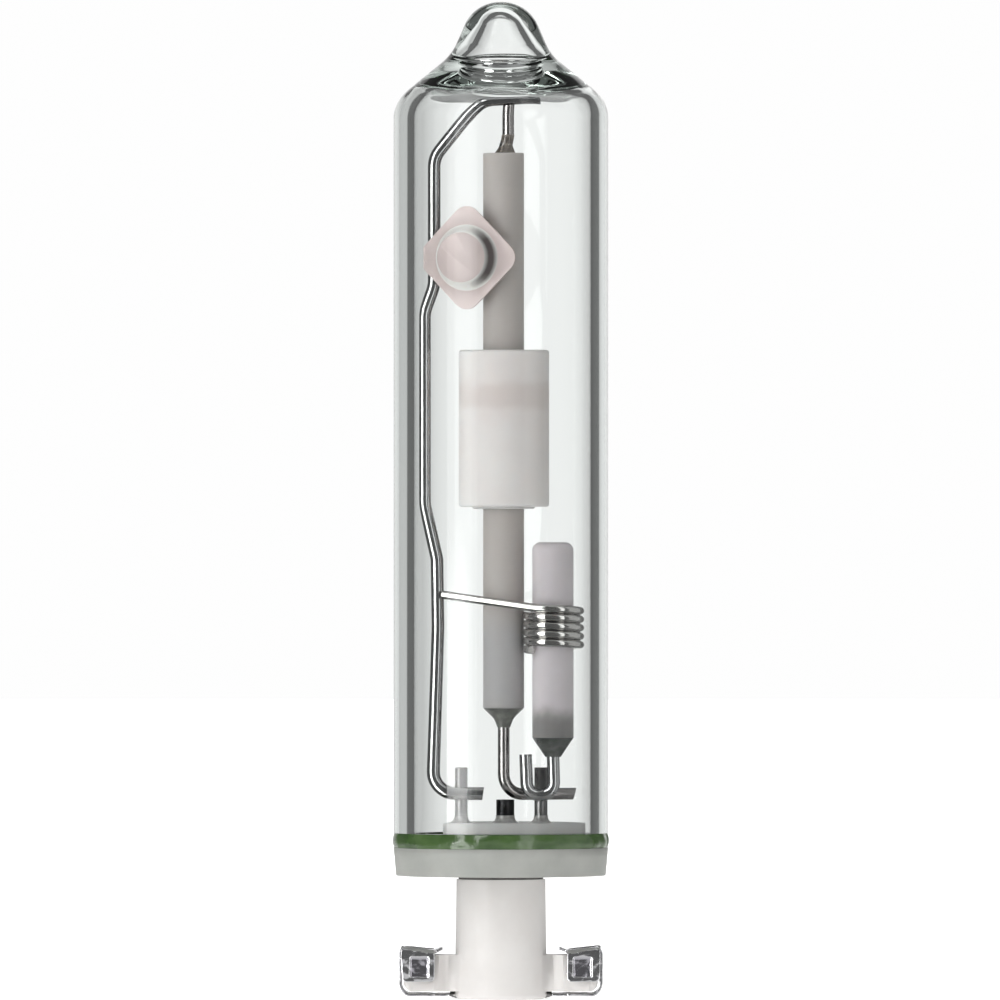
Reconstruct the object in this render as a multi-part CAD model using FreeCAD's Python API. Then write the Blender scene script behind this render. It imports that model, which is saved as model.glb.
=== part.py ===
import FreeCAD, Part
import math
import os

# Compact single-ended metal halide lamp with a two-lug twist-lock cap. Millimetres.
# Origin: on the lamp's axis, at the underside of the ceramic base disc, which seats on the holder.
# +Z runs up the bulb, the lugs lie along X, and the getter and the ignition coil face -Y.

over = 1.0                   # how far a cutting body runs past what it cuts

# Clear glass bulb
bulb_wall = 1.13             # wall of the tube
bulb_clear = 0.235           # the bore to the ignition coil, the widest thing inside
shoulder_rise = 2.65         # shoulder corner up to the foot of the tip
shoulder_round = 1.58
tip_foot_r = 2.82
tip_foot_round = 3.0
tip_rise = 3.03              # foot of the tip up to its crown
tip_crown_r = 1.54
tip_crown_round = 2.2
roof_rise = 0.88             # shoulder corner up to the edge of the throat
roof_fall = 0.72             # the inside roof falls from the throat to the wall
roof_round = 1.00
throat_r = 1.6               # hole in the thick ring between chamber and tip
throat_length = 0.62
throat_round = 0.28
tip_wall = 0.72              # glass over the hollow tip
hollow_r = 2.5               # hollow tip, widest, just over the throat
hollow_round = 0.3
hollow_waist_r = 1.72
hollow_waist_rise = 0.38     # above the foot of the tip
hollow_waist_round = 2.0
hollow_crown_r = 1.12
hollow_crown_round = 1.35

# Solder glass ring between bulb and disc
seal_t = 0.83
seal_bulge = 0.14            # how far it swells past the tube outside
seal_inner_bulge = 0.08
seal_round = 0.27

# Ceramic base disc
disc_t = 1.60
disc_taper = 0.14            # the underside is this much smaller in radius
boss_h = 1.43
boss_gap = 0.20              # boss to the bore of the bulb
boss_flat_depth = 1.73       # the boss is a D with its flat on the left
disc_edge_round = 0.08

# Pins through the disc
pin_r = 0.37
pin_x_left = -2.30
pin_x_right = 2.26
pin_stand = 3.16             # height above the boss
pin_ledge_z = 0.50           # the pins stand on a ledge inside the disc
pin_seal_gap = 0.05          # solder glass sleeve between pin and disc
bead_h = 0.42
bead_spread = 0.26           # foot of a bead past its hole
bead_lip = 0.03
bead_draw = 0.22             # share by which the side of a bead is drawn in

# Exhaust tube in the middle of the disc, pinched shut below it
stub_x = 0.23
stub_r = 0.525
stub_wall = 0.20
stub_stand = 1.32
stub_below = 0.30            # round part below the disc
stub_pinch = 0.70            # length of the pinched end
stub_pinch_w = 0.72          # half width of the pinched end
stub_pinch_t = 0.13          # half thickness of the pinched end

# Ceramic cap: post, lugs and the cement over it
cement_t = 0.20
cement_r = 2.42
post_top_r = 2.55
post_foot_r = 2.63
post_length = 6.86
post_round = 0.30
stub_pocket_r = 0.90
stub_pocket_depth = 1.40
lug_foot_rise = 0.47         # above the foot of the post
lug_h = 2.08
lug_reach = 5.53             # end face of a lug, from the axis
lug_half_y = 1.40
lug_waist_half_y = 1.08      # the lug is fluted beside the post
lug_waist_x = 3.12
lug_shoulder_x = 3.66
lug_round = 0.28
lug_flute_round = 0.50
lug_top_round = 0.09
lug_foot_round = 0.50        # lower end edge, under the bend of the contact
tail_r = 0.18
tail_clear = 0.05
tail_inset = 0.22            # tails stand this much nearer the axis than the pins
tail_bend = 0.30
tail_end_rise = 0.27         # the tail runs out of the post at a slope, to the contact
notch_half_y = 0.26          # grooves under the post and lugs, for the tails
notch_depth = 0.26           # at its inner end
notch_inset = 0.09           # inner end, past the bore of the tail

# Sheet metal contacts
sheet_t = 0.16
clip_gap = 0.05              # sheet to ceramic, on the sides that touch
clip_strap_half_y = 1.22
clip_lift_inner = 0.03       # top plate over the lug, at its inner end
clip_lift_outer = 0.23       # top plate over the lug, at its outer end
clip_inner_x = 3.84
clip_tab_run = 0.50          # upturned tab, along and up
clip_tab_rise = 0.20
clip_tab_half_y = 0.80
clip_corner_round = 0.22
clip_foot_round = 0.52
cheek_inner_x = 3.78
cheek_outer_x = 5.66         # the cheek covers the edge of the outer wall
cheek_drop = 1.62            # cheek below the top plate
cheek_taper = 0.10
cheek_round = 0.22
cheek_bend = 0.22
clip_foot_x = 2.97           # end of the foot, beside the tail
clip_foot_half_y = 0.80

# Arc tube
arc_x = 0.14                 # the arc tube stands a little off the axis
vessel_r = 2.583
vessel_wall = 0.81
vessel_clear = 2.02          # over the top of the capsule
vessel_h = 8.96
vessel_round = 0.17
plug_t = 1.25
plug_proud = 0.12            # the lower plug shows under the vessel
capillary_r = 1.175
capillary_upper_length = 11.26
capillary_lower_length = 11.38
wire_clear = 0.03            # running room of the wires in the capillaries
feed_r = 0.343
feed_depth = 2.40            # niobium wire inside a capillary
feed_top_x = 0.40
feed_top_free = 2.79         # from the upper capillary to the frame wire
feed_lean_low = 0.16         # the upper wire leans over between two heights above its capillary
feed_lean_high = 0.97
feed_lean_round = 0.8
frit_upper_h = 1.05
frit_upper_r = 0.69
frit_lower_h = 1.10
frit_waist_wall = 0.22
frit_waist_rise = 0.50
frit_waist_round = 0.8
frit_tip_wall = 0.03
feed_foot_drop = 1.53        # below the top of the right pin
feed_foot_inset = 0.60       # insets are from the bore of the bulb
feed_foot_slope = 0.36       # the foot passes behind the right pin
feed_foot_cut = 18.0         # slant of the cut end, in degrees
feed_bend = 1.14
rod_r = 0.15
rod_reach = 1.45             # electrode tip, from the inside face of its plug
tip_coil_r = 0.29
tip_coil_length = 0.90
tip_coil_setback = 0.18
mercury_r = 0.24
dose_r = 0.75
dose_h = 0.16

# Frame wire, seen from the front
frame_r = 0.37
frame_top_clear = 0.32       # top of the wire to the edge of the throat
frame_end_inset = 2.72
frame_turn_x = -0.95         # left end of the level run at the top
frame_turn_round = 1.2
frame_slope_x = -2.35
frame_slope_drop = 1.55      # drops are below the top of the wire
frame_slope_round = 1.4
frame_upper_inset = 1.14
frame_upper_drop = 3.42
frame_upper_round = 1.5
frame_step_drop = 10.75      # here the wire steps out to pass the vessel
frame_step_length = 1.50
frame_step_round = 2.0
frame_middle_inset = 0.58
frame_crank_rise = 16.50     # rises are above the foot of the wire
frame_crank_round = 2.5
frame_crank_inset = 1.30
frame_elbow_rise = 13.40
frame_elbow_round = 1.6
frame_lower_inset = 1.36
frame_lean_rise = 9.54
frame_lean_round = 6.0
frame_foot_inset = 1.13
frame_foot_round = 1.25
frame_foot_drop = 1.49       # below the top of the left pin
frame_foot_end_x = -1.02
frame_foot_cut = 8.0         # slant of the cut end, in degrees

# Ignition capsule, its lead and its coil
capsule_bearing = 18.93      # degrees, from the right towards the front
capsule_r = 1.157
capsule_wall = 0.50
capsule_rise = 1.70          # above the top of the pins
capsule_h = 11.16
capsule_round = 0.46
capsule_cap = 0.70
capsule_frit_h = 1.09
capsule_frit_tip_r = 0.44
capsule_fill_h = 1.40        # sealing glass that stands inside the capsule
lead_r = 0.357
lead_inside = 3.4            # lead inside the capsule
lead_round = 1.0
u_width = 1.511
u_lean = 0.086               # the free leg leans outwards
u_right_out = 0.07           # past the axis of the capsule
u_bottom_drop = 1.58         # below the top of the right pin
u_free_rise = 2.33
u_bend = 0.74
coil_wire_r = 0.238
coil_grip = 0.071            # the capsule to the coil
coil_clear = 0.049           # the coil to the lower capillary
coil_pitch = 0.483
coil_rise = 7.38             # upper end of the coil above the foot of the capsule
coil_turns = 4.9
coil_arcs = 10               # arcs that make one turn of the coil
coil_lead_rise = 0.78        # the lead climbs this much to the frame wire
coil_lead_y = -0.45
coil_lead_bend_at = 0.5      # first run of the coil's lead
coil_lead_round = 6.0
coil_weld_x = 0.32           # the lead ends this far from the axis of the frame wire

# Getter
getter_out = 1.90            # centre of the getter, from the frame wire
getter_rise = 5.26           # centre above the top of the vessel
getter_turn = 22.0           # degrees about the vertical, right corner towards the front
getter_side = 4.67
getter_corner_round = 0.87
getter_sheet = 0.12
getter_cup_r = 1.97
getter_cup_top_r = 1.43
getter_cup_h = 0.76
getter_trim = 2.69           # the left corner is cut off this far from the centre
getter_touch = 0.03          # gap to the frame wire
pill_r = 1.25
pill_h = 0.42

# Places worked out from the sizes above
coil_mean_r = capsule_r + coil_grip + coil_wire_r
coil_outer_r = coil_mean_r + coil_wire_r
capsule_reach = capillary_r + coil_clear + coil_outer_r
capsule_x = arc_x + capsule_reach * math.cos(math.radians(capsule_bearing))
capsule_y = -capsule_reach * math.sin(math.radians(capsule_bearing))
bore_r = math.hypot(capsule_x, capsule_y) + coil_outer_r + bulb_clear
bulb_r = bore_r + bulb_wall
bulb_z = disc_t + seal_t
boss_z = disc_t + boss_h
boss_r = bore_r - boss_gap
boss_flat_x = boss_flat_depth - boss_r
pin_top_z = boss_z + pin_stand
capsule_bottom_z = pin_top_z + capsule_rise
capsule_top_z = capsule_bottom_z + capsule_h
capsule_bore_r = capsule_r - capsule_wall
u_bottom_z = pin_top_z - u_bottom_drop
u_right_x = capsule_x + u_right_out
u_left_x = u_right_x - u_width
coil_top_z = capsule_bottom_z + coil_rise
coil_lead_z = coil_top_z + coil_lead_rise
vessel_bottom_z = capsule_top_z + vessel_clear
vessel_top_z = vessel_bottom_z + vessel_h
vessel_bore_r = vessel_r - vessel_wall
lower_plug_z = vessel_bottom_z - plug_proud
upper_plug_z = vessel_top_z - plug_t
chamber_floor_z = lower_plug_z + plug_t
capillary_bore_r = feed_r + wire_clear
capillary_top_z = vessel_top_z + capillary_upper_length
capillary_foot_z = lower_plug_z - capillary_lower_length
feed_foot_z = pin_top_z - feed_foot_drop
feed_foot_x = bore_r - feed_foot_inset
frame_top_z = capillary_top_z + feed_top_free + frame_r
frame_foot_z = pin_top_z - frame_foot_drop
frame_end_x = bore_r - frame_end_inset
frame_x_upper = frame_upper_inset - bore_r
frame_x_middle = frame_middle_inset - bore_r
frame_x_crank = frame_crank_inset - bore_r
frame_x_lower = frame_lower_inset - bore_r
frame_x_foot = frame_foot_inset - bore_r
getter_x = frame_x_upper + getter_out
getter_z = vessel_top_z + getter_rise
roof_z = frame_top_z + frame_r + frame_top_clear
shoulder_z = roof_z - roof_rise
tip_foot_z = shoulder_z + shoulder_rise
bulb_top_z = tip_foot_z + tip_rise
throat_z = roof_z + throat_length
post_top_z = -cement_t
post_foot_z = post_top_z - post_length
lug_foot_z = post_foot_z + lug_foot_rise
lug_top_z = lug_foot_z + lug_h


def corner_arc(before, corner, after, radius):
    """Start, middle and end of the arc that rounds one corner."""
    inward = (before - corner).normalize()
    onward = (after - corner).normalize()
    half_angle = inward.getAngle(onward) / 2
    setback = radius / math.tan(half_angle)
    bisector = (inward + onward).normalize()
    middle = corner + bisector * (radius / math.sin(half_angle) - radius)
    return corner + inward * setback, middle, corner + onward * setback


def straight(start, end):
    """A line as a list of one edge, or of none where the ends meet."""
    if start.distanceToPoint(end) < 1e-6:
        return []
    return [Part.makeLine(start, end)]


def open_path(corners):
    """Straight runs joined by tangent arcs. A corner is (x, y, z, round)."""
    points = [FreeCAD.Vector(x, y, z) for x, y, z, rounding in corners]
    edges = []
    here = points[0]
    for i in range(1, len(points) - 1):
        start, middle, end = corner_arc(points[i - 1], points[i], points[i + 1], corners[i][3])
        edges += straight(here, start)
        edges.append(Part.Arc(start, middle, end).toShape())
        here = end
    edges += straight(here, points[-1])
    return Part.Wire(edges)


def outline(corners):
    """Closed face in the XZ plane. A corner is (x, z, round)."""
    points = [FreeCAD.Vector(x, 0, z) for x, z, rounding in corners]
    spans = []
    for i, point in enumerate(points):
        after = points[(i + 1) % len(points)]
        if corners[i][2]:
            spans.append(corner_arc(points[i - 1], point, after, corners[i][2]))
        else:
            spans.append((point, None, point))
    edges = []
    for i, (start, middle, end) in enumerate(spans):
        if middle is not None:
            edges.append(Part.Arc(start, middle, end).toShape())
        edges += straight(end, spans[(i + 1) % len(spans)][0])
    return Part.Face(Part.Wire(edges))


def turned(corners, x=0.0, y=0.0):
    """Solid of revolution about the vertical through x, y. A corner is (radius, z, round)."""
    solid = outline(corners).revolve(FreeCAD.Vector(), FreeCAD.Vector(0, 0, 1), 360)
    solid.translate(FreeCAD.Vector(x, y, 0))
    return solid


def column(radius, low, high, x=0.0, y=0.0):
    """Plain upright cylinder between two heights."""
    return Part.makeCylinder(radius, high - low, FreeCAD.Vector(x, y, low))


def disc_at(path, radius):
    """Round face across the start of a path."""
    first = path.Edges[0]
    start = first.valueAt(first.FirstParameter)
    heading = first.tangentAt(first.FirstParameter)
    return Part.Face(Part.Wire(Part.makeCircle(radius, start, heading)))


def round_bar(corners, radius):
    """Round wire along straight runs and arcs."""
    path = open_path(corners)
    return path.makePipe(disc_at(path, radius))


def slab(face, half_y):
    """Face of the XZ plane, thickened evenly towards both sides."""
    face.translate(FreeCAD.Vector(0, -half_y, 0))
    return face.extrude(FreeCAD.Vector(0, 2 * half_y, 0))


def box(low, high):
    """Box between two corners."""
    size = [b - a for a, b in zip(low, high)]
    return Part.makeBox(size[0], size[1], size[2], FreeCAD.Vector(*low))


def end_cut(wire, end_x, end_z, slant):
    """A wire that runs off to the right, with its end cut on a slant and longest at the top."""
    knife = box((0, -bore_r, -over), (bore_r, bore_r, over))
    knife.rotate(FreeCAD.Vector(), FreeCAD.Vector(0, 1, 0), slant)
    knife.translate(FreeCAD.Vector(end_x, 0, end_z))
    return wire.cut(knife)


def mirrored(shape):
    """The same piece on the other side of the lamp."""
    return shape.mirror(FreeCAD.Vector(), FreeCAD.Vector(1, 0, 0))


def make_outer_bulb():
    """Blown bulb: shoulder, flared tip, thick throat and a bell-shaped hollow over it."""
    outside = turned([
        (0, bulb_z, 0),
        (bulb_r, bulb_z, 0),
        (bulb_r, shoulder_z, shoulder_round),
        (tip_foot_r, tip_foot_z, tip_foot_round),
        (tip_crown_r, bulb_top_z, tip_crown_round),
        (0, bulb_top_z, 0),
    ])
    chamber = turned([
        (0, bulb_z, 0),
        (bore_r, bulb_z, 0),
        (bore_r, roof_z - roof_fall, roof_round),
        (throat_r, roof_z, throat_round),
        (throat_r, throat_z, throat_round),
        (hollow_r, throat_z, hollow_round),
        (hollow_waist_r, tip_foot_z + hollow_waist_rise, hollow_waist_round),
        (hollow_crown_r, bulb_top_z - tip_wall, hollow_crown_round),
        (0, bulb_top_z - tip_wall, 0),
    ])
    return outside.cut(chamber)


def make_seal_ring():
    """Solder glass ring that swells a little past both faces of the tube."""
    middle_z = disc_t + seal_t / 2
    return turned([
        (bore_r, disc_t, 0),
        (bulb_r, disc_t, 0),
        (bulb_r + seal_bulge, middle_z, seal_round),
        (bulb_r, bulb_z, 0),
        (bore_r, bulb_z, 0),
        (bore_r - seal_inner_bulge, middle_z, seal_round),
    ])


def pin_places():
    """Side name, x of the pin and x of its tail."""
    return [("left", pin_x_left, pin_x_left + tail_inset), ("right", pin_x_right, pin_x_right - tail_inset)]


def make_base_disc():
    """Flange with a D-shaped boss, stepped holes for the pins and a hole for the exhaust tube."""
    flange = turned([
        (0, 0, 0),
        (bulb_r - disc_taper, 0, disc_edge_round),
        (bulb_r, disc_t, 0),
        (0, disc_t, 0),
    ])
    boss = column(boss_r, disc_t, boss_z)
    boss = boss.cut(box((-bulb_r, -bulb_r, disc_t), (boss_flat_x, bulb_r, boss_z)))
    disc = flange.fuse(boss).removeSplitter()
    for side, pin_x, tail_x in pin_places():
        disc = disc.cut(column(pin_r + pin_seal_gap, pin_ledge_z, boss_z, pin_x))
        disc = disc.cut(column(tail_r + tail_clear, 0, pin_ledge_z, tail_x))
    return disc.cut(column(stub_r + pin_seal_gap, 0, boss_z, stub_x))


def make_bead(hole_r, pin_radius, foot_z, x):
    """Solder glass sleeve in a hole of the disc, with a hollow-sided foot on the boss."""
    sleeve = column(hole_r, foot_z, boss_z, x)
    foot_r = hole_r + bead_spread
    top_r = pin_radius + bead_lip
    foot = outline_of_bead(foot_r, top_r).revolve(FreeCAD.Vector(), FreeCAD.Vector(0, 0, 1), 360)
    foot.translate(FreeCAD.Vector(x, 0, 0))
    bead = sleeve.fuse(foot)
    return bead.cut(column(pin_radius, foot_z, boss_z + bead_h, x)).removeSplitter()


def outline_of_bead(foot_r, top_r):
    """Half section of a bead's foot, whose side is drawn in like a meniscus."""
    low = FreeCAD.Vector(foot_r, 0, boss_z)
    high = FreeCAD.Vector(top_r, 0, boss_z + bead_h)
    waist = (low + high) * 0.5 - FreeCAD.Vector(bead_spread, 0, bead_h) * bead_draw
    edges = [
        Part.makeLine(FreeCAD.Vector(0, 0, boss_z), low),
        Part.Arc(low, waist, high).toShape(),
        Part.makeLine(high, FreeCAD.Vector(0, 0, boss_z + bead_h)),
        Part.makeLine(FreeCAD.Vector(0, 0, boss_z + bead_h), FreeCAD.Vector(0, 0, boss_z)),
    ]
    return Part.Face(Part.Wire(edges))


def make_exhaust_stub():
    """Metal tube, open to the bulb and pinched shut under the disc."""
    tube = column(stub_r, -stub_below, boss_z + stub_stand, stub_x)
    tube = tube.cut(column(stub_r - stub_wall, -stub_below, boss_z + stub_stand, stub_x))
    top = Part.Wire(Part.makeCircle(stub_r, FreeCAD.Vector(stub_x, 0, -stub_below)))
    flat = Part.Ellipse(FreeCAD.Vector(stub_x, 0, -stub_below - stub_pinch), stub_pinch_w, stub_pinch_t)
    pinch = Part.makeLoft([top, Part.Wire(flat.toShape())], True)
    return tube.fuse(pinch)


def make_lug(side):
    """One lug: fluted beside the post, square and rounded at its end and under it."""
    ring = [
        (0.0, lug_waist_half_y),
        (lug_waist_x, lug_waist_half_y),
        (lug_shoulder_x, lug_half_y),
        (lug_reach, lug_half_y),
    ]
    rounds = [0, lug_flute_round, lug_flute_round, lug_round]
    upper = [(side * x, y, r) for (x, y), r in zip(ring, rounds)]
    lower = [(x, -y, r) for x, y, r in reversed(upper)]
    face = outline(upper + lower)
    face.rotate(FreeCAD.Vector(), FreeCAD.Vector(1, 0, 0), -90)
    face.translate(FreeCAD.Vector(0, 0, lug_foot_z))
    section = outline([
        (0, lug_foot_z, 0),
        (side * lug_reach, lug_foot_z, lug_foot_round),
        (side * lug_reach, lug_top_z, lug_top_round),
        (0, lug_top_z, 0),
    ])
    return face.extrude(FreeCAD.Vector(0, 0, lug_h)).common(slab(section, lug_half_y + over))


def notch(side, tail_x):
    """Groove under the post and a lug in which the end of a tail runs out to its contact."""
    near = abs(tail_x) - tail_r - tail_clear - notch_inset
    rise = tail_end_rise * (clip_foot_x - near) / (clip_foot_x - abs(tail_x))
    face = outline([
        (side * near, post_foot_z - over, 0),
        (side * near, post_foot_z + notch_depth, 0),
        (side * clip_foot_x, post_foot_z + notch_depth + rise, 0),
        (side * clip_foot_x, post_foot_z - over, 0),
    ])
    return slab(face, notch_half_y)


def make_cap_body():
    """Post with two lugs, bores for the tails and a pocket for the pinched exhaust tube."""
    post = turned([
        (0, post_foot_z, 0),
        (post_foot_r, post_foot_z, post_round),
        (post_top_r, post_top_z, 0),
        (0, post_top_z, 0),
    ])
    body = post.fuse(make_lug(1)).fuse(make_lug(-1)).removeSplitter()
    for side, pin_x, tail_x in pin_places():
        body = body.cut(notch(math.copysign(1, tail_x), tail_x))
        body = body.cut(column(tail_r + tail_clear, post_foot_z, post_top_z, tail_x))
    return body.cut(column(stub_pocket_r, post_top_z - stub_pocket_depth, post_top_z, stub_x))


def make_cap_cement():
    """Thin layer between disc and post, open where the tails and the exhaust tube pass."""
    cement = column(cement_r, post_top_z, 0)
    for side, pin_x, tail_x in pin_places():
        cement = cement.cut(column(tail_r + tail_clear, post_top_z, 0, tail_x))
    return cement.cut(column(stub_r + tail_clear, post_top_z, 0, stub_x))


def make_tail(tail_x):
    """Wire from the end of a pin, down its bore in the post and out to the contact."""
    side = math.copysign(1, tail_x)
    low_z = post_foot_z + tail_r / 2
    return round_bar([
        (tail_x, 0, pin_ledge_z, 0),
        (tail_x, 0, low_z, tail_bend),
        (side * (clip_foot_x - tail_clear), 0, low_z + tail_end_rise, 0),
    ], tail_r)


def make_clip():
    """Right-hand contact, one folded sheet: tab, top plate with two cheeks, outer wall and foot."""
    half_t = sheet_t / 2
    inner_z = lug_top_z + clip_lift_inner + half_t
    outer_z = lug_top_z + clip_lift_outer + half_t
    wall_x = lug_reach + clip_gap + half_t
    foot_z = lug_foot_z - clip_gap - half_t
    path = open_path([
        (clip_inner_x - clip_tab_run, 0, inner_z + clip_tab_rise, 0),
        (clip_inner_x, 0, inner_z, clip_corner_round),
        (wall_x, 0, outer_z, clip_corner_round),
        (wall_x, 0, foot_z, clip_foot_round),
        (clip_foot_x, 0, foot_z, 0),
    ])
    strap = path.makePipe(sheet_section(path, clip_strap_half_y))
    tab_x = clip_inner_x - clip_corner_round / 2
    strap = trimmed(strap, tab_x, clip_tab_half_y, inner_z - sheet_t, inner_z + over)
    strap = trimmed(strap, clip_inner_x, clip_foot_half_y, foot_z - sheet_t, foot_z + sheet_t)
    for side in (1, -1):
        strap = strap.fuse(make_cheek(side, inner_z, outer_z, wall_x))
    return strap.removeSplitter()


def sheet_section(path, half_y):
    """Upright section of the sheet at the start of a path in the XZ plane."""
    first = path.Edges[0]
    start = first.valueAt(first.FirstParameter)
    heading = first.tangentAt(first.FirstParameter)
    across = FreeCAD.Vector(0, 1, 0)
    up = heading.cross(across).normalize() * (sheet_t / 2)
    side = across * half_y
    ring = [start - side - up, start + side - up, start + side + up, start - side + up]
    return Part.Face(Part.makePolygon(ring + [ring[0]]))


def trimmed(strap, x_limit, half_y, low_z, high_z):
    """Narrows the strap nearer the axis than x_limit, between two heights."""
    for low_y, high_y in ((-clip_strap_half_y - over, -half_y), (half_y, clip_strap_half_y + over)):
        strap = strap.cut(box((0, low_y, low_z), (x_limit, high_y, high_z)))
    return strap


def make_cheek(side, inner_z, outer_z, wall_x):
    """Side cheek of a contact, folded down from the top plate and cut to a tapered outline."""
    cheek_y = side * (lug_half_y + clip_gap + sheet_t / 2)
    low_z = inner_z - cheek_drop
    spare = sheet_t
    path = open_path([
        (cheek_inner_x - spare, side * (clip_strap_half_y - spare), inner_z, 0),
        (cheek_inner_x - spare, cheek_y, inner_z, cheek_bend),
        (cheek_inner_x - spare, cheek_y, low_z - spare, 0),
    ])
    start = path.Edges[0].valueAt(path.Edges[0].FirstParameter)
    half_up = FreeCAD.Vector(0, 0, sheet_t / 2)
    length = FreeCAD.Vector(cheek_outer_x - cheek_inner_x + 2 * spare, 0, 0)
    ring = [start - half_up, start + half_up, start + half_up + length, start - half_up + length]
    bent = path.makePipe(Part.Face(Part.makePolygon(ring + [ring[0]])))
    tilt = math.degrees(math.atan2(outer_z - inner_z, wall_x - clip_inner_x))
    bent.rotate(FreeCAD.Vector(clip_inner_x, 0, inner_z), FreeCAD.Vector(0, 1, 0), -tilt)
    cut_out = outline([
        (cheek_inner_x, inner_z + over, 0),
        (cheek_outer_x, inner_z + over, 0),
        (cheek_outer_x - cheek_taper, low_z, cheek_round),
        (cheek_inner_x, low_z, cheek_round),
    ])
    return bent.common(slab(cut_out, lug_half_y + over))


def make_arc_body():
    """Ceramic tube of the discharge vessel."""
    return turned([
        (vessel_bore_r, vessel_bottom_z, 0),
        (vessel_r, vessel_bottom_z, vessel_round),
        (vessel_r, vessel_top_z, vessel_round),
        (vessel_bore_r, vessel_top_z, 0),
    ], arc_x)


def make_plug(low_z):
    """End plug of the vessel, bored for a capillary."""
    plug = column(vessel_bore_r, low_z, low_z + plug_t, arc_x)
    return plug.cut(column(capillary_r, low_z, low_z + plug_t, arc_x))


def make_capillary(low_z, high_z):
    """Thin ceramic tube that runs through its plug to the chamber."""
    tube = column(capillary_r, low_z, high_z, arc_x)
    return tube.cut(column(capillary_bore_r, low_z, high_z, arc_x))


def make_feed_upper():
    """Niobium wire from inside the upper capillary to the frame wire."""
    return round_bar([
        (arc_x, 0, capillary_top_z - feed_depth, 0),
        (arc_x, 0, capillary_top_z + feed_lean_low, feed_lean_round),
        (feed_top_x, 0, capillary_top_z + feed_lean_high, feed_lean_round),
        (feed_top_x, 0, frame_top_z - frame_r, 0),
    ], feed_r)


def make_feed_lower():
    """Niobium wire from inside the lower capillary, bent to pass behind the right pin."""
    end_x = feed_foot_x + feed_r
    wire = round_bar([
        (arc_x, 0, capillary_foot_z + feed_depth, 0),
        (arc_x, 0, feed_foot_z, feed_bend),
        (end_x, (end_x - arc_x) * feed_foot_slope, feed_foot_z, 0),
    ], feed_r)
    return end_cut(wire, feed_foot_x, feed_foot_z, feed_foot_cut)


def make_frit_upper(feed):
    """Sealing glass drawn up round the upper wire."""
    foot = Part.Wire(Part.makeCircle(frit_upper_r, FreeCAD.Vector(arc_x, 0, capillary_top_z)))
    tip_at = FreeCAD.Vector(feed_top_x, 0, capillary_top_z + frit_upper_h)
    tip = Part.Wire(Part.makeCircle(feed_r + frit_tip_wall, tip_at))
    return Part.makeLoft([foot, tip], True).cut(feed)


def make_frit_lower():
    """Sealing glass cone under the lower capillary."""
    tip_z = capillary_foot_z - frit_lower_h
    cone = turned([
        (feed_r, capillary_foot_z, 0),
        (feed_r, tip_z, 0),
        (feed_r + frit_tip_wall, tip_z, 0),
        (feed_r + frit_waist_wall, tip_z + frit_waist_rise, frit_waist_round),
        (capillary_r, capillary_foot_z, 0),
    ], arc_x)
    return cone


def electrode(plug_face_z, capillary_end_z, way):
    """Rod, winding in the capillary and winding at the tip; way is +1 where the rod points up."""
    tip_z = plug_face_z + way * rod_reach
    butt_z = capillary_end_z + way * feed_depth
    rod = column(rod_r, min(tip_z, butt_z), max(tip_z, butt_z), arc_x)
    winding_end_z = plug_face_z - way * plug_t
    low, high = sorted((winding_end_z, butt_z))
    winding = column(feed_r, low, high, arc_x).cut(column(rod_r, low, high, arc_x))
    low, high = sorted((tip_z - way * tip_coil_setback, tip_z - way * (tip_coil_setback + tip_coil_length)))
    tip = column(tip_coil_r, low, high, arc_x).cut(column(rod_r, low, high, arc_x))
    return rod, winding, tip


def make_salt_dose():
    """Flat frozen pool of salts on the chamber floor."""
    surface_z = chamber_floor_z + dose_h
    pool = column(dose_r, chamber_floor_z, surface_z, arc_x - capillary_r)
    pool = pool.common(column(vessel_bore_r, chamber_floor_z, surface_z, arc_x))
    return pool.cut(column(capillary_r, chamber_floor_z - over, surface_z + over, arc_x))


def make_mercury_drop():
    """Drop of mercury, resting on the chamber floor."""
    place = arc_x + (capillary_r + vessel_bore_r) / 2
    return Part.makeSphere(mercury_r, FreeCAD.Vector(place, 0, chamber_floor_z + mercury_r))


def make_frame_wire():
    """Long wire up the left side, cranked round the arc tube and turned over its top."""
    foot_y = -(pin_r + frame_r)
    step_z = frame_top_z - frame_step_drop
    wire = round_bar([
        (frame_end_x, 0, frame_top_z, 0),
        (frame_turn_x, 0, frame_top_z, frame_turn_round),
        (frame_slope_x, 0, frame_top_z - frame_slope_drop, frame_slope_round),
        (frame_x_upper, 0, frame_top_z - frame_upper_drop, frame_upper_round),
        (frame_x_upper, 0, step_z, frame_step_round),
        (frame_x_middle, 0, step_z - frame_step_length, frame_step_round),
        (frame_x_middle, 0, frame_foot_z + frame_crank_rise, frame_crank_round),
        (frame_x_crank, 0, frame_foot_z + frame_elbow_rise, frame_elbow_round),
        (frame_x_lower, 0, frame_foot_z + frame_lean_rise, frame_lean_round),
        (frame_x_foot, foot_y, frame_foot_z, frame_foot_round),
        (frame_foot_end_x + frame_r, foot_y, frame_foot_z, 0),
    ], frame_r)
    return end_cut(wire, frame_foot_end_x, frame_foot_z, frame_foot_cut)


def make_capsule():
    """Ceramic capsule of the igniter, closed and rounded at its top."""
    shell = turned([
        (0, capsule_bottom_z, 0),
        (capsule_r, capsule_bottom_z, 0),
        (capsule_r, capsule_top_z, capsule_round),
        (0, capsule_top_z, 0),
    ], capsule_x, capsule_y)
    bore_top_z = capsule_top_z - capsule_cap
    return shell.cut(column(capsule_bore_r, capsule_bottom_z, bore_top_z, capsule_x, capsule_y))


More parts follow.
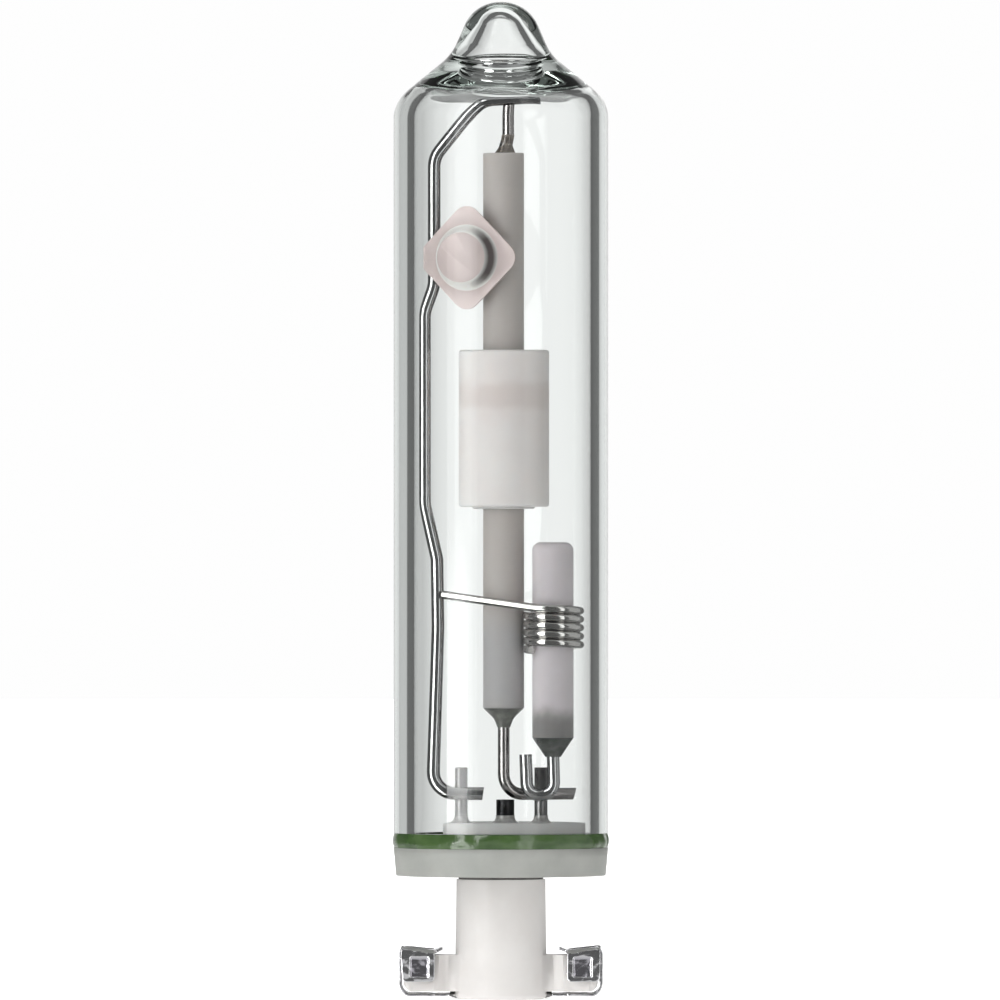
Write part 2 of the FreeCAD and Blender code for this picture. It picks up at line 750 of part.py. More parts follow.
def make_capsule_lead():
    """Lead of the capsule: down out of it, round a U in front of the right pin and up again."""
    lead_y = -(pin_r + lead_r)
    return round_bar([
        (capsule_x, capsule_y, capsule_bottom_z + lead_inside, 0),
        (capsule_x, capsule_y, capsule_bottom_z - capsule_frit_h, lead_round),
        (u_right_x, lead_y, u_bottom_z, u_bend),
        (u_left_x, lead_y, u_bottom_z, u_bend),
        (u_left_x - u_lean, lead_y, u_bottom_z + u_free_rise, 0),
    ], lead_r)


def make_capsule_frit(lead):
    """Sealing glass: a plug inside the capsule and a cone under it."""
    tip_z = capsule_bottom_z - capsule_frit_h
    plug = column(capsule_bore_r, capsule_bottom_z, capsule_bottom_z + capsule_fill_h, capsule_x, capsule_y)
    cone = turned([
        (0, capsule_bottom_z, 0),
        (0, tip_z, 0),
        (capsule_frit_tip_r, tip_z, 0),
        (capsule_r, capsule_bottom_z, 0),
    ], capsule_x, capsule_y)
    return plug.fuse(cone).cut(lead).removeSplitter()


def coil_corner(steps, end_angle):
    """Corner of the polygon round the coil, so many arcs of a turn before its upper end."""
    angle = end_angle + steps * math.tau / coil_arcs
    corner_r = coil_mean_r / math.cos(math.pi / coil_arcs)
    z = coil_top_z - steps * coil_pitch / coil_arcs
    return FreeCAD.Vector(capsule_x + corner_r * math.cos(angle), capsule_y + corner_r * math.sin(angle), z)


def make_ignition_coil():
    """Ignition wire: close turns round the capsule and a lead across to the frame wire."""
    weld_x = frame_x_lower + coil_weld_x
    reach = math.hypot(capsule_x - weld_x, capsule_y - coil_lead_y)
    bearing = math.atan2(coil_lead_y - capsule_y, weld_x - capsule_x)
    end_angle = bearing + math.acos(coil_mean_r / reach)
    count = round(coil_turns * coil_arcs)
    corners = [coil_corner(i + 0.5, end_angle) for i in range(count, -2, -1)]
    side = corners[1] - corners[0]
    half_angle = (corners[0] - corners[1]).getAngle(corners[2] - corners[1]) / 2
    arc_r = side.Length / 2 * math.tan(half_angle)
    start = (corners[0] + corners[1]) * 0.5
    joint = (corners[-2] + corners[-1]) * 0.5
    knee = joint + (corners[-1] - corners[-2]).normalize() * coil_lead_bend_at
    turns = [(c.x, c.y, c.z, arc_r) for c in corners[1:-1]]
    return round_bar([
        (start.x, start.y, start.z, 0),
        *turns,
        (knee.x, knee.y, knee.z, coil_lead_round),
        (weld_x, coil_lead_y, coil_lead_z, 0),
    ], coil_wire_r)


def make_getter():
    """Sheet metal square with a pressed cup, and the powder pill in its hollow."""
    half = getter_side / math.sqrt(2)
    square = outline([
        (half, 0, getter_corner_round),
        (0, half, getter_corner_round),
        (-half, 0, getter_corner_round),
        (0, -half, getter_corner_round),
    ])
    sheet = square.extrude(FreeCAD.Vector(0, getter_sheet, 0))
    sheet = sheet.cut(box((-half - over, -over, -half), (-getter_trim, over, half)))
    facing = FreeCAD.Vector(0, -1, 0)
    back = FreeCAD.Vector(0, getter_sheet, 0)
    rise = getter_cup_h + getter_sheet
    cup = Part.makeCone(getter_cup_r, getter_cup_top_r, rise, back, facing)
    slope = (getter_cup_r - getter_cup_top_r) / rise
    skin = getter_sheet * math.hypot(1, slope)
    hollow_h = rise - getter_sheet
    hollow = Part.makeCone(
        getter_cup_r - skin, getter_cup_r - skin - slope * hollow_h, hollow_h, back, facing)
    tab = sheet.fuse(cup).cut(hollow).removeSplitter()
    pill = Part.makeCylinder(pill_r, pill_h, FreeCAD.Vector(0, pill_h - getter_cup_h + getter_sheet, 0), facing)
    plane_y = -(frame_r + getter_touch + getter_sheet / math.cos(math.radians(getter_turn)))
    plane_y -= (getter_x - frame_x_upper) * math.tan(math.radians(getter_turn))
    for piece in (tab, pill):
        piece.rotate(FreeCAD.Vector(), FreeCAD.Vector(0, 0, 1), -getter_turn)
        piece.translate(FreeCAD.Vector(getter_x, plane_y, getter_z))
    return tab, pill


def make_nodes():
    """Every piece of the lamp by the name of its node."""
    clip = make_clip()
    feed_upper = make_feed_upper()
    lead = make_capsule_lead()
    getter_tab, getter_pill = make_getter()
    nodes = {
        "outer_bulb": make_outer_bulb(),
        "seal_ring": make_seal_ring(),
        "base_disc": make_base_disc(),
        "cap_cement": make_cap_cement(),
        "cap_body": make_cap_body(),
        "contact_clip_right": clip,
        "contact_clip_left": mirrored(clip),
        "exhaust_stub": make_exhaust_stub(),
        "exhaust_bead": make_bead(stub_r + pin_seal_gap, stub_r, 0, stub_x),
        "frame_wire": make_frame_wire(),
        "arc_body": make_arc_body(),
        "arc_plug_lower": make_plug(lower_plug_z),
        "arc_plug_upper": make_plug(upper_plug_z),
        "capillary_lower": make_capillary(capillary_foot_z, chamber_floor_z),
        "capillary_upper": make_capillary(upper_plug_z, capillary_top_z),
        "feedthrough_upper": feed_upper,
        "feedthrough_lower": make_feed_lower(),
        "frit_upper": make_frit_upper(feed_upper),
        "frit_lower": make_frit_lower(),
        "salt_dose": make_salt_dose(),
        "mercury_drop": make_mercury_drop(),
        "enhancer_capsule": make_capsule(),
        "enhancer_lead": lead,
        "enhancer_frit": make_capsule_frit(lead),
        "enhancer_coil": make_ignition_coil(),
        "getter_tab": getter_tab,
        "getter_pill": getter_pill,
    }
    for side, pin_x, tail_x in pin_places():
        nodes["lead_pin_" + side] = column(pin_r, pin_ledge_z, pin_top_z, pin_x)
        nodes["pin_bead_" + side] = make_bead(pin_r + pin_seal_gap, pin_r, pin_ledge_z, pin_x)
        nodes["lead_tail_" + side] = make_tail(tail_x)
    ends = (
        ("lower", chamber_floor_z, capillary_foot_z, 1),
        ("upper", upper_plug_z, capillary_top_z, -1),
    )
    for end, plug_face_z, capillary_end_z, way in ends:
        rod, winding, tip = electrode(plug_face_z, capillary_end_z, way)
        nodes["electrode_rod_" + end] = rod
        nodes["capillary_winding_" + end] = winding
        nodes["electrode_tip_" + end] = tip
    return nodes


os.makedirs("parts", exist_ok=True)
for name, shape in make_nodes().items():
    shape.exportStep(os.path.join("parts", name + ".step"))
    print(f"{name}: {len(shape.Solids)} solid, valid {shape.isValid()}, {shape.Volume:.4f} mm3")
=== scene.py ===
"""Looks of a compact single-ended metal halide lamp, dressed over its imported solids."""

import logging
import math
from dataclasses import dataclass
from enum import Enum
from functools import lru_cache, reduce
from typing import NamedTuple

import bmesh
import bpy
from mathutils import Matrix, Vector, noise

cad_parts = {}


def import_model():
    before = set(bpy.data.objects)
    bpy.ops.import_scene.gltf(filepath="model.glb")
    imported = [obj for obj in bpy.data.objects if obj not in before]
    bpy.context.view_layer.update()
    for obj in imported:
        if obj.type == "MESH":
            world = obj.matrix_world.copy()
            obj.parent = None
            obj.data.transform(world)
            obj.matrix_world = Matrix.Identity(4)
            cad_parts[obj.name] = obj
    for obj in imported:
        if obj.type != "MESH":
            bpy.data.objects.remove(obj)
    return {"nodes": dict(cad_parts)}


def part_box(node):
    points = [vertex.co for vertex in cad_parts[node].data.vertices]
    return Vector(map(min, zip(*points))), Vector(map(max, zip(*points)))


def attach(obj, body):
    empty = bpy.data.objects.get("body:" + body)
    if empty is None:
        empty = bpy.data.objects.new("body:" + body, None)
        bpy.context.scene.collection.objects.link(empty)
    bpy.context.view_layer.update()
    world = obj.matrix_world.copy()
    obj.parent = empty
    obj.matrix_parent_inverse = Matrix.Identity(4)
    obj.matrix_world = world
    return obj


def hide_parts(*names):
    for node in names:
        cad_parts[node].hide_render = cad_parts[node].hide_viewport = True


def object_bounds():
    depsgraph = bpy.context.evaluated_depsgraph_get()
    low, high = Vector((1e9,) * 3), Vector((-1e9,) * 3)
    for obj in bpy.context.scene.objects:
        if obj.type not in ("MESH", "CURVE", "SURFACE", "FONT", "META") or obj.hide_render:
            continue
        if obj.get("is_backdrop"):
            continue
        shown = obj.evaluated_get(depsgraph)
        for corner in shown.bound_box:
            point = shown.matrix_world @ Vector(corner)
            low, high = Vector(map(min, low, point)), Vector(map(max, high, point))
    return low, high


log = logging.getLogger("lamp")

MM = 0.001
BODY = "root"
SEED = 7

MERGE = 1e-5
ON_AXIS = 1e-6
WHITE = (1.0, 1.0, 1.0, 1.0)
HALF_TURN = 180.0

Place = tuple[float, float, float]
Axis = tuple[float, float]
Colour = tuple[float, float, float]
Section = list[tuple[float, float]]
BMesh = bmesh.types.BMesh
Socket = bpy.types.NodeSocket
Piece = bpy.types.Object
Nodes = dict[str, Piece]


class Corner(NamedTuple):
    """Corner of a half section: radius, height and rounding, in millimetres."""

    r: float
    z: float
    round: float = 0.0


class Bend(NamedTuple):
    """Corner of a wire's route: its place and bend radius, in millimetres."""

    x: float
    y: float
    z: float
    round: float = 0.0


class Cut(NamedTuple):
    """Slanted cut at a wire's end: a place on it, in millimetres, and the slant in degrees."""

    x: float
    z: float
    slant: float


class Fade(NamedTuple):
    """Fall of the backdrop's light between two bearings from its middle, to a share."""

    start: float
    end: float
    share: float


class Crease(Enum):
    """Angle over which an edge of a piece stays sharp, in degrees."""

    CRISP = 28.0
    TURNED = 32.0
    WIRE = 40.0
    ROUND = 50.0
    FUSED = 60.0
    SHEET = 70.0


class Graph:
    """Adds and joins the nodes of one tree."""

    def __init__(self, tree: bpy.types.NodeTree) -> None:
        """Empties the tree.

        Args:
            tree: The tree to fill.
        """
        self.tree = tree
        tree.nodes.clear()

    def add(self, kind: str, inputs: dict | None = None, **settings) -> bpy.types.Node:
        """Adds a node.

        Args:
            kind: Type of the node.
            inputs: Values or sockets for its inputs, by name or number.
            settings: Values of its properties.

        Returns:
            The node.
        """
        node = self.tree.nodes.new(kind)
        for key, value in settings.items():
            setattr(node, key, value)
        for key, value in (inputs or {}).items():
            socket = node.inputs[key]
            if isinstance(value, Socket):
                self.tree.links.new(value, socket)
            else:
                socket.default_value = value
        return node

    def kept(self, name: str) -> Socket:
        """Value that a piece's mesh keeps under a name."""
        return self.add("ShaderNodeAttribute", attribute_name=name).outputs["Fac"]

    def upward(self, vector: Socket) -> Socket:
        """Upward part of a vector."""
        return self.add("ShaderNodeSeparateXYZ", {"Vector": vector}).outputs["Z"]

    def place(self, stretch: Place = (1.0, 1.0, 1.0)) -> Socket:
        """Object coordinates in millimetres.

        Args:
            stretch: Factor along each axis.

        Returns:
            The vector socket.
        """
        spot = self.add("ShaderNodeTexCoord").outputs["Object"]
        scale = tuple(factor / MM for factor in stretch)
        return self.add("ShaderNodeMapping", {"Vector": spot, "Scale": scale}).outputs["Vector"]

    def mottle(self, vector: Socket, scale: float, detail: float = 3.0) -> Socket:
        """Noise between 0 and 1.

        Args:
            vector: Where it is read.
            scale: Number of patches per millimetre.
            detail: Number of finer layers.

        Returns:
            The value socket.
        """
        inputs = {"Vector": vector, "Scale": scale, "Detail": detail}
        return self.add("ShaderNodeTexNoise", inputs).outputs["Fac"]

    def spread(self, value: Socket, low: float, high: float, start: float, end: float,
               soft: bool = False) -> Socket:
        """Maps a range of values to another.

        Args:
            value: The value.
            low: Lowest value.
            high: Highest value.
            start: Result at the lowest value.
            end: Result at the highest value.
            soft: Whether the change is eased at both ends.

        Returns:
            The result's socket.
        """
        kind = "SMOOTHSTEP" if soft else "LINEAR"
        inputs = {0: value, 1: low, 2: high, 3: start, 4: end}
        return self.add("ShaderNodeMapRange", inputs, interpolation_type=kind).outputs[0]

    def math(self, operation: str, *values: Socket | float) -> Socket:
        """Does a sum.

        Args:
            operation: Name of the operation.
            values: What it takes.

        Returns:
            The result's socket.
        """
        return self.add("ShaderNodeMath", dict(enumerate(values)), operation=operation).outputs[0]

    def product(self, *values: Socket | float) -> Socket | float:
        """Multiplies values."""
        return reduce(lambda first, second: self.math("MULTIPLY", first, second), values)

    def total(self, *values: Socket | float) -> Socket | float:
        """Adds values."""
        return reduce(lambda first, second: self.math("ADD", first, second), values)

    def flag(self, count: Socket) -> Socket:
        """Gives 1 where a count is 1 or more, otherwise 0."""
        return self.math("GREATER_THAN", count, 0.5)

    def rest(self, share: Socket) -> Socket:
        """What is left of 1 beside a share."""
        return self.math("SUBTRACT", 1.0, share)

    def choose(self, share: Socket, first: Socket | float, second: Socket | float) -> Socket:
        """Goes from one value to another with a share."""
        return self.add("ShaderNodeMix", {"Factor": share, 2: first, 3: second}).outputs[0]

    def window(self, value: Socket, low: float, high: float, outward: float, inward: float = 0.0) -> Socket:
        """Share that is 1 between two values, with eased edges.

        Args:
            value: The value.
            low: Where the window starts.
            high: Where it ends.
            outward: How far its edges reach out of it.
            inward: How far they reach into it.

        Returns:
            The share's socket.
        """
        rise = self.spread(value, low - outward, low + inward, 0.0, 1.0, True)
        fall = self.spread(value, high - inward, high + outward, 1.0, 0.0, True)
        return self.product(rise, fall)

    def blend(self, factor: Socket, first: Colour, second: Colour) -> Socket:
        """Mixes two colours.

        Args:
            factor: Share of the second colour.
            first: Colour at 0, or its socket.
            second: Colour at 1, or its socket.

        Returns:
            The colour's socket.
        """
        node = self.add("ShaderNodeMix", {"Factor": factor}, data_type="RGBA")
        for number, colour in ((6, first), (7, second)):
            if isinstance(colour, Socket):
                self.tree.links.new(colour, node.inputs[number])
            else:
                node.inputs[number].default_value = (*colour, 1.0)
        return node.outputs[2]

    def bump(self, height: Socket, strength: float, depth: float,
             under: Socket | None = None) -> Socket:
        """Turns a height into a normal.

        Args:
            height: The height, from 0 to 1.
            strength: How strongly it shows.
            depth: What a height of 1 stands for, in millimetres.
            under: Normal that it is laid over.

        Returns:
            The normal's socket.
        """
        inputs = {"Height": height, "Strength": strength, "Distance": depth * MM}
        if under is not None:
            inputs["Normal"] = under
        return self.add("ShaderNodeBump", inputs).outputs["Normal"]

    def surface(self, inputs: dict, volume: bpy.types.Node | None = None) -> None:
        """Ends the tree with a surface and what fills the piece.

        Args:
            inputs: Values or sockets of the surface.
            volume: Node of the filling.
        """
        ends = {"Surface": self.add("ShaderNodeBsdfPrincipled", inputs).outputs[0]}
        if volume is not None:
            ends["Volume"] = volume.outputs[0]
        self.add("ShaderNodeOutputMaterial", ends)


@dataclass(frozen=True)
class Finish:
    """What every finish has: a name and a material made once."""

    name: str

    def dress(self, graph: Graph) -> None:
        """Fills the material's tree.

        Args:
            graph: The tree's graph.
        """
        raise NotImplementedError


@lru_cache(maxsize=None)
def material_of(finish: Finish) -> bpy.types.Material:
    """Makes a finish's material.

    Args:
        finish: The finish.

    Returns:
        Its material, the same one each time.
    """
    material = bpy.data.materials.new(finish.name)
    material.use_nodes = True
    finish.dress(Graph(material.node_tree))
    return material


@dataclass(frozen=True)
class ClearGlass(Finish):
    """Clear glass with a breath of green where it is thick."""

    tint: Colour = (0.980, 0.982, 0.981)
    streak: Colour = (0.994, 0.996, 0.995)
    fill: Colour = (0.50, 0.68, 0.58)
    density: float = 55.0
    index: float = 1.5
    shine: Colour = (0.25, 0.25, 0.25)
    streak_squash: float = 0.15
    streak_scale: float = 0.45

    def dress(self, graph: Graph) -> None:
        """Fills the material's tree.

        Args:
            graph: The tree's graph.
        """
        streaks = graph.mottle(graph.place((1.0, 1.0, self.streak_squash)), self.streak_scale)
        filling = {"Color": (*self.fill, 1.0), "Density": self.density}
        volume = graph.add("ShaderNodeVolumeAbsorption", filling)
        graph.surface({
            "Base Color": graph.blend(streaks, self.tint, self.streak),
            "Roughness": 0.0,
            "IOR": self.index,
            "Specular Tint": (*self.shine, 1.0),
            "Transmission Weight": 1.0,
        }, volume)


@dataclass(frozen=True)
class SolderGlass(Finish):
    """Fused glass, dark and uneven."""

    dark: Colour
    light: Colour
    patch: float
    clear: float
    wave: float = 0.1
    squash: float = 1.6
    wave_scale: float = 0.5
    ripple_scale: float = 2.6
    ripple: float = 0.05
    smoothest: float = 0.08
    roughest: float = 0.26
    index: float = 1.6

    def dress(self, graph: Graph) -> None:
        """Fills the material's tree.

        Args:
            graph: The tree's graph.
        """
        spot = graph.place((1.0, 1.0, self.squash))
        patches = graph.spread(graph.mottle(spot, self.patch, 4.0), 0.3, 0.7, 0.0, 1.0)
        ripple = graph.mottle(spot, self.ripple_scale)
        waves = graph.bump(graph.mottle(spot, self.wave_scale, 1.0), 1.0, self.wave)
        graph.surface({
            "Base Color": graph.blend(patches, self.dark, self.light),
            "Roughness": graph.spread(ripple, 0.0, 1.0, self.smoothest, self.roughest),
            "IOR": self.index,
            "Transmission Weight": self.clear,
            "Normal": graph.bump(ripple, 0.4, self.ripple, waves),
        })


@dataclass(frozen=True)
class PressedCeramic(Finish):
    """Opaque pressed ceramic with a fine grain, whiter above some height: painted light that brightens the
    part inside the bulb.
    """

    pale: Colour
    dull: Colour
    rough: float = 0.6
    painted_light_colour: Colour = (0.84, 0.83, 0.82)
    painted_light_from: float = 60.0
    painted_light_edge: float = 0.1
    cloud_scale: float = 0.35
    grain_scale: float = 14.0
    uneven: float = 0.1
    scatter: float = 0.25
    reach: Colour = (0.4, 0.36, 0.34)

    def dress(self, graph: Graph) -> None:
        """Fills the material's tree.

        Args:
            graph: The tree's graph.
        """
        spot = graph.place()
        clouds = graph.spread(graph.mottle(spot, self.cloud_scale, 4.0), 0.35, 0.65, 0.0, 1.0)
        grain = graph.mottle(spot, self.grain_scale, 5.0)
        # Painted light: above the given height the colour turns whiter, brightening the disc's boss inside
        # the bulb where less light reaches it.
        edge = self.painted_light_from - self.painted_light_edge
        above = graph.spread(graph.upward(spot), edge, self.painted_light_from, 0.0, 1.0)
        graph.surface({
            "Base Color": graph.blend(above, graph.blend(clouds, self.dull, self.pale), self.painted_light_colour),
            "Roughness": graph.spread(grain, 0.2, 0.8, self.rough - self.uneven, self.rough + self.uneven),
            "Subsurface Weight": self.scatter,
            "Subsurface Radius": tuple(part * MM for part in self.reach),
            "Subsurface Scale": 1.0,
            "Normal": graph.bump(grain, 0.35, 0.02),
        })


@dataclass(frozen=True)
class SinteredCeramic(Finish):
    """Translucent sintered ceramic, with painted shade between two heights where dark parts inside show
    through.
    """

    pale: Colour
    warm: Colour
    painted_inner_shade: Colour
    inner_shade_low: float
    inner_shade_high: float
    inner_shade_share: float = 0.5
    inner_shade_edge: float = 0.4
    wander: float = 0.5
    wander_scale: float = 0.8
    cloud_scale: float = 0.28
    grain_scale: float = 9.0
    index: float = 1.4
    reach: Colour = (0.8, 0.768, 0.736)

    def dress(self, graph: Graph) -> None:
        """Fills the material's tree.

        Args:
            graph: The tree's graph.
        """
        spot = graph.place()
        clouds = graph.spread(graph.mottle(spot, self.cloud_scale), 0.35, 0.65, 0.0, 1.0)
        grain = graph.mottle(spot, self.grain_scale, 4.0)
        wobble = graph.spread(graph.mottle(spot, self.wander_scale), 0.0, 1.0, -self.wander, self.wander)
        height = graph.total(graph.upward(spot), wobble)
        # Painted shade: between the two heights the colour darkens, standing in for dark parts inside
        # showing through the wall.
        inner_shaded = graph.window(height, self.inner_shade_low, self.inner_shade_high, self.inner_shade_edge, self.inner_shade_edge)
        base = graph.blend(clouds, self.warm, self.pale)
        graph.surface({
            "Base Color": graph.blend(graph.product(inner_shaded, self.inner_shade_share), base, self.painted_inner_shade),
            "Roughness": graph.spread(grain, 0.2, 0.8, 0.42, 0.55),
            "IOR": self.index,
            "Subsurface Weight": 1.0,
            "Subsurface Radius": tuple(part * MM for part in self.reach),
            "Subsurface Scale": 1.0,
            "Normal": graph.bump(grain, 0.2, 0.01),
        })


@dataclass(frozen=True)
class DrawnWire(Finish):
    """Drawn metal wire, streaked along its length."""

    bright: Colour
    dull: Colour
    smooth: float
    streaks_along: float = 0.12
    streak_scale: float = 4.5

    def dress(self, graph: Graph) -> None:
        """Fills the material's tree.

        Args:
            graph: The tree's graph.
        """
        turn = graph.product(graph.kept("around"), math.tau)
        spot = graph.add("ShaderNodeCombineXYZ", {
            "X": graph.math("COSINE", turn),
            "Y": graph.math("SINE", turn),
            "Z": graph.product(graph.kept("along"), self.streaks_along / MM),
        }).outputs["Vector"]
        streaks = graph.mottle(spot, self.streak_scale, 4.0)
        clouds = graph.mottle(spot, 0.9)
        graph.surface({
            "Base Color": graph.blend(clouds, self.dull, self.bright),
            "Metallic": 1.0,
            "Roughness": graph.spread(streaks, 0.2, 0.8, self.smooth * 0.7, self.smooth * 1.4),
            "Normal": graph.bump(streaks, 0.25, 0.01),
        })


@dataclass(frozen=True)
class SheetMetal(Finish):
    """Thin sheet metal with scuffs and soft dents, and painted shade in its pressed panels."""

    bright: Colour
    dull: Colour
    smooth: float
    dents: float
    dent_scale: float
    dent_depth: float = 0.12
    scuff_squash: float = 5.0
    scuff_scale: float = 3.0
    painted_panel_shade: Colour = (0.52, 0.51, 0.55)

    def dress(self, graph: Graph) -> None:
        """Fills the material's tree.

        Args:
            graph: The tree's graph.
        """
        spot = graph.place()
        clouds = graph.mottle(spot, 0.8, 4.0)
        scuffs = graph.mottle(graph.place((1.0, 1.0, self.scuff_squash)), self.scuff_scale, 5.0)
        dents = graph.mottle(spot, self.dent_scale, 2.0)
        fine = graph.bump(scuffs, 0.2, 0.01)
        sheet = graph.blend(clouds, self.dull, self.bright)
        graph.surface({
            # Painted shade: the pressed panels turn darker, standing in for the dark reflection in the
            # recess.
            "Base Color": graph.blend(graph.kept("pressed"), sheet, self.painted_panel_shade),
            "Metallic": 1.0,
            "Roughness": graph.spread(scuffs, 0.25, 0.75, self.smooth * 0.8, self.smooth * 1.25),
            "Normal": graph.bump(dents, self.dents, self.dent_depth, fine),
        })


@dataclass(frozen=True)
class DullMetal(Finish):
    """Oxidised or pressed metal with a cloudy surface; on the getter's cup, a painted highlight on the flank
    and painted shade on the flank's right.
    """

    bright: Colour
    dull: Colour
    rough: float
    metal: float = 1.0
    squash: float = 0.5
    cloud_scale: float = 1.6
    grain_scale: float = 12.0
    painted_shade_colour: Colour = (0.12, 0.10, 0.10)
    painted_highlight_colour: Colour = (0.99, 0.97, 0.94)

    def dress(self, graph: Graph) -> None:
        """Fills the material's tree.

        Args:
            graph: The tree's graph.
        """
        spot = graph.place((1.0, 1.0, self.squash))
        clouds = graph.spread(graph.mottle(spot, self.cloud_scale, 4.0), 0.3, 0.7, 0.0, 1.0)
        grain = graph.mottle(spot, self.grain_scale, 4.0)
        flat = graph.blend(clouds, self.dull, self.bright)
        # Painted highlight: where a piece keeps a flank share, the colour turns near white.
        sheet = graph.blend(graph.kept("flank"), flat, self.painted_highlight_colour)
        graph.surface({
            # Painted shade: where a piece keeps the darkened flank share, the colour turns dark.
            "Base Color": graph.blend(graph.kept("painted_dark_flank"), sheet, self.painted_shade_colour),
            "Metallic": self.metal,
            "Roughness": graph.spread(grain, 0.2, 0.8, self.rough * 0.8, self.rough * 1.2),
            "Normal": graph.bump(grain, 0.25, 0.01),
        })


@dataclass(frozen=True)
class StudioFloor(Finish):
    """Pale floor of the studio."""

    pale: Colour = (0.90, 0.90, 0.90)
    glow: float = 0.60
    shade: float = 0.985

    def dress(self, graph: Graph) -> None:
        """Fills the material's tree.

        Args:
            graph: The tree's graph.
        """
        cloud = graph.mottle(graph.add("ShaderNodeTexCoord").outputs["Object"], 2.0)
        graph.surface({
            "Base Color": graph.blend(cloud, self.pale, tuple(part * self.shade for part in self.pale)),
            "Roughness": 0.9,
            "Specular IOR Level": 0.1,
            "Emission Color": WHITE,
            "Emission Strength": self.glow,
        })


BULB_GLASS = ClearGlass("clear_bulb_glass")
RING_GLASS = SolderGlass("green_solder_glass", (0.020, 0.056, 0.008), (0.068, 0.12, 0.040), 0.45, 0.10, 0.35)
BEAD_GLASS = SolderGlass("grey_solder_glass", (0.34, 0.33, 0.32), (0.52, 0.51, 0.50), 2.0, 0.1)
LOWER_FRIT = SolderGlass("lower_sealing_glass", (0.13, 0.135, 0.125), (0.27, 0.27, 0.25), 1.4, 0.1)
UPPER_FRIT = SolderGlass("upper_sealing_glass", (0.12, 0.10, 0.085), (0.30, 0.27, 0.24), 1.4, 0.1)
CAPSULE_FRIT = SolderGlass("capsule_sealing_glass", (0.065, 0.070, 0.066), (0.14, 0.145, 0.14), 1.4, 0.1)
# The disc turns whiter above 2.5 mm: painted light on its boss inside the bulb.
DISC_CERAMIC = PressedCeramic(
    "disc_ceramic", (0.325, 0.33, 0.31), (0.265, 0.275, 0.255), 0.45, painted_light_from=2.5)
CAP_CERAMIC = PressedCeramic("cap_ceramic", (0.62, 0.605, 0.59), (0.58, 0.56, 0.545), 0.5)
CEMENT = PressedCeramic("grey_cement", (0.20, 0.19, 0.18), (0.11, 0.105, 0.10), 0.8)
# The two heights of each sintered ceramic bound its band of painted shade.
VESSEL = SinteredCeramic(
    "vessel_ceramic", (0.91, 0.865, 0.85), (0.87, 0.81, 0.795), (0.70, 0.62, 0.59), 26.8, 28.0)
CAPILLARY = SinteredCeramic(
    "capillary_ceramic", (0.56, 0.525, 0.505), (0.52, 0.485, 0.465), (0.45, 0.445, 0.455), 9.0, 14.5,
    inner_shade_share=0.8, inner_shade_edge=1.5)
CAPSULE = SinteredCeramic(
    "capsule_ceramic", (0.74, 0.69, 0.715), (0.70, 0.65, 0.675), (0.17, 0.17, 0.16), 6.0, 9.3,
    inner_shade_share=0.8, inner_shade_edge=0.7)
BRIGHT_WIRE = DrawnWire("bright_wire", (0.54, 0.54, 0.54), (0.38, 0.38, 0.39), 0.12)
COIL_WIRE = DrawnWire("coil_wire", (0.66, 0.65, 0.63), (0.46, 0.45, 0.44), 0.13)
GREY_WIRE = DrawnWire("niobium_wire", (0.46, 0.44, 0.435), (0.32, 0.305, 0.305), 0.2)
TAIL_WIRE = DrawnWire("tail_wire", (0.30, 0.29, 0.28), (0.16, 0.16, 0.16), 0.3)
CONTACT = SheetMetal("contact_sheet", (0.74, 0.74, 0.75), (0.58, 0.58, 0.60), 0.17, 0.4, 1.6)
GETTER_SHEET = DullMetal("getter_sheet", (0.76, 0.645, 0.63), (0.69, 0.58, 0.565), 0.5, 0.12)
POWDER = DullMetal("getter_powder", (0.58, 0.50, 0.49), (0.50, 0.43, 0.42), 0.55, 0.6)
PIN_METAL = DullMetal("pin_metal", (0.24, 0.235, 0.235), (0.11, 0.11, 0.11), 0.32)
STUB_METAL = DullMetal("blackened_metal", (0.040, 0.040, 0.042), (0.012, 0.012, 0.013), 0.4)
INNER_METAL = DullMetal("refractory_metal", (0.20, 0.20, 0.21), (0.10, 0.10, 0.11), 0.4)
MERCURY = DullMetal("mercury", (0.80, 0.80, 0.82), (0.70, 0.70, 0.72), 0.05)
SALT = PressedCeramic("frozen_salt", (0.72, 0.66, 0.40), (0.60, 0.50, 0.30), 0.5)
FLOOR = StudioFloor("studio_floor")


def span_of(node: str) -> tuple[Vector, Vector]:
    """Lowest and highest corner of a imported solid.

    Args:
        node: Name of its node.

    Returns:
        Both corners, in millimetres.
    """
    low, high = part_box(node)
    return Vector(low) / MM, Vector(high) / MM


def radius_of(node: str) -> float:
    """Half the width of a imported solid, in millimetres."""
    low, high = span_of(node)
    return (high.x - low.x) / 2


def rounded(corners: list[Corner], steps: int = 10) -> Section:
    """Points of a half section whose corners are rounded by arcs.

    Args:
        corners: The section's corners, from one end to the other.
        steps: Number of pieces in an arc.

    Returns:
        Radius and height of every point.
    """
    points: Section = []
    for i, corner in enumerate(corners):
        here = Vector(corner[:2])
        if not corner.round:
            points.append(tuple(here))
            continue
        back = (Vector(corners[i - 1][:2]) - here).normalized()
        onward = (Vector(corners[(i + 1) % len(corners)][:2]) - here).normalized()
        half = back.angle(onward) / 2
        centre = here + (back + onward).normalized() * corner.round / math.sin(half)
        start = here + back * corner.round / math.tan(half) - centre
        finish = here + onward * corner.round / math.tan(half) - centre
        first = math.atan2(start.y, start.x)
        sweep = math.remainder(math.atan2(finish.y, finish.x) - first, math.tau)
        for k in range(steps + 1):
            angle = first + sweep * k / steps
            x, y = corner.round * math.cos(angle), corner.round * math.sin(angle)
            points.append((centre.x + x, centre.y + y))
    return points


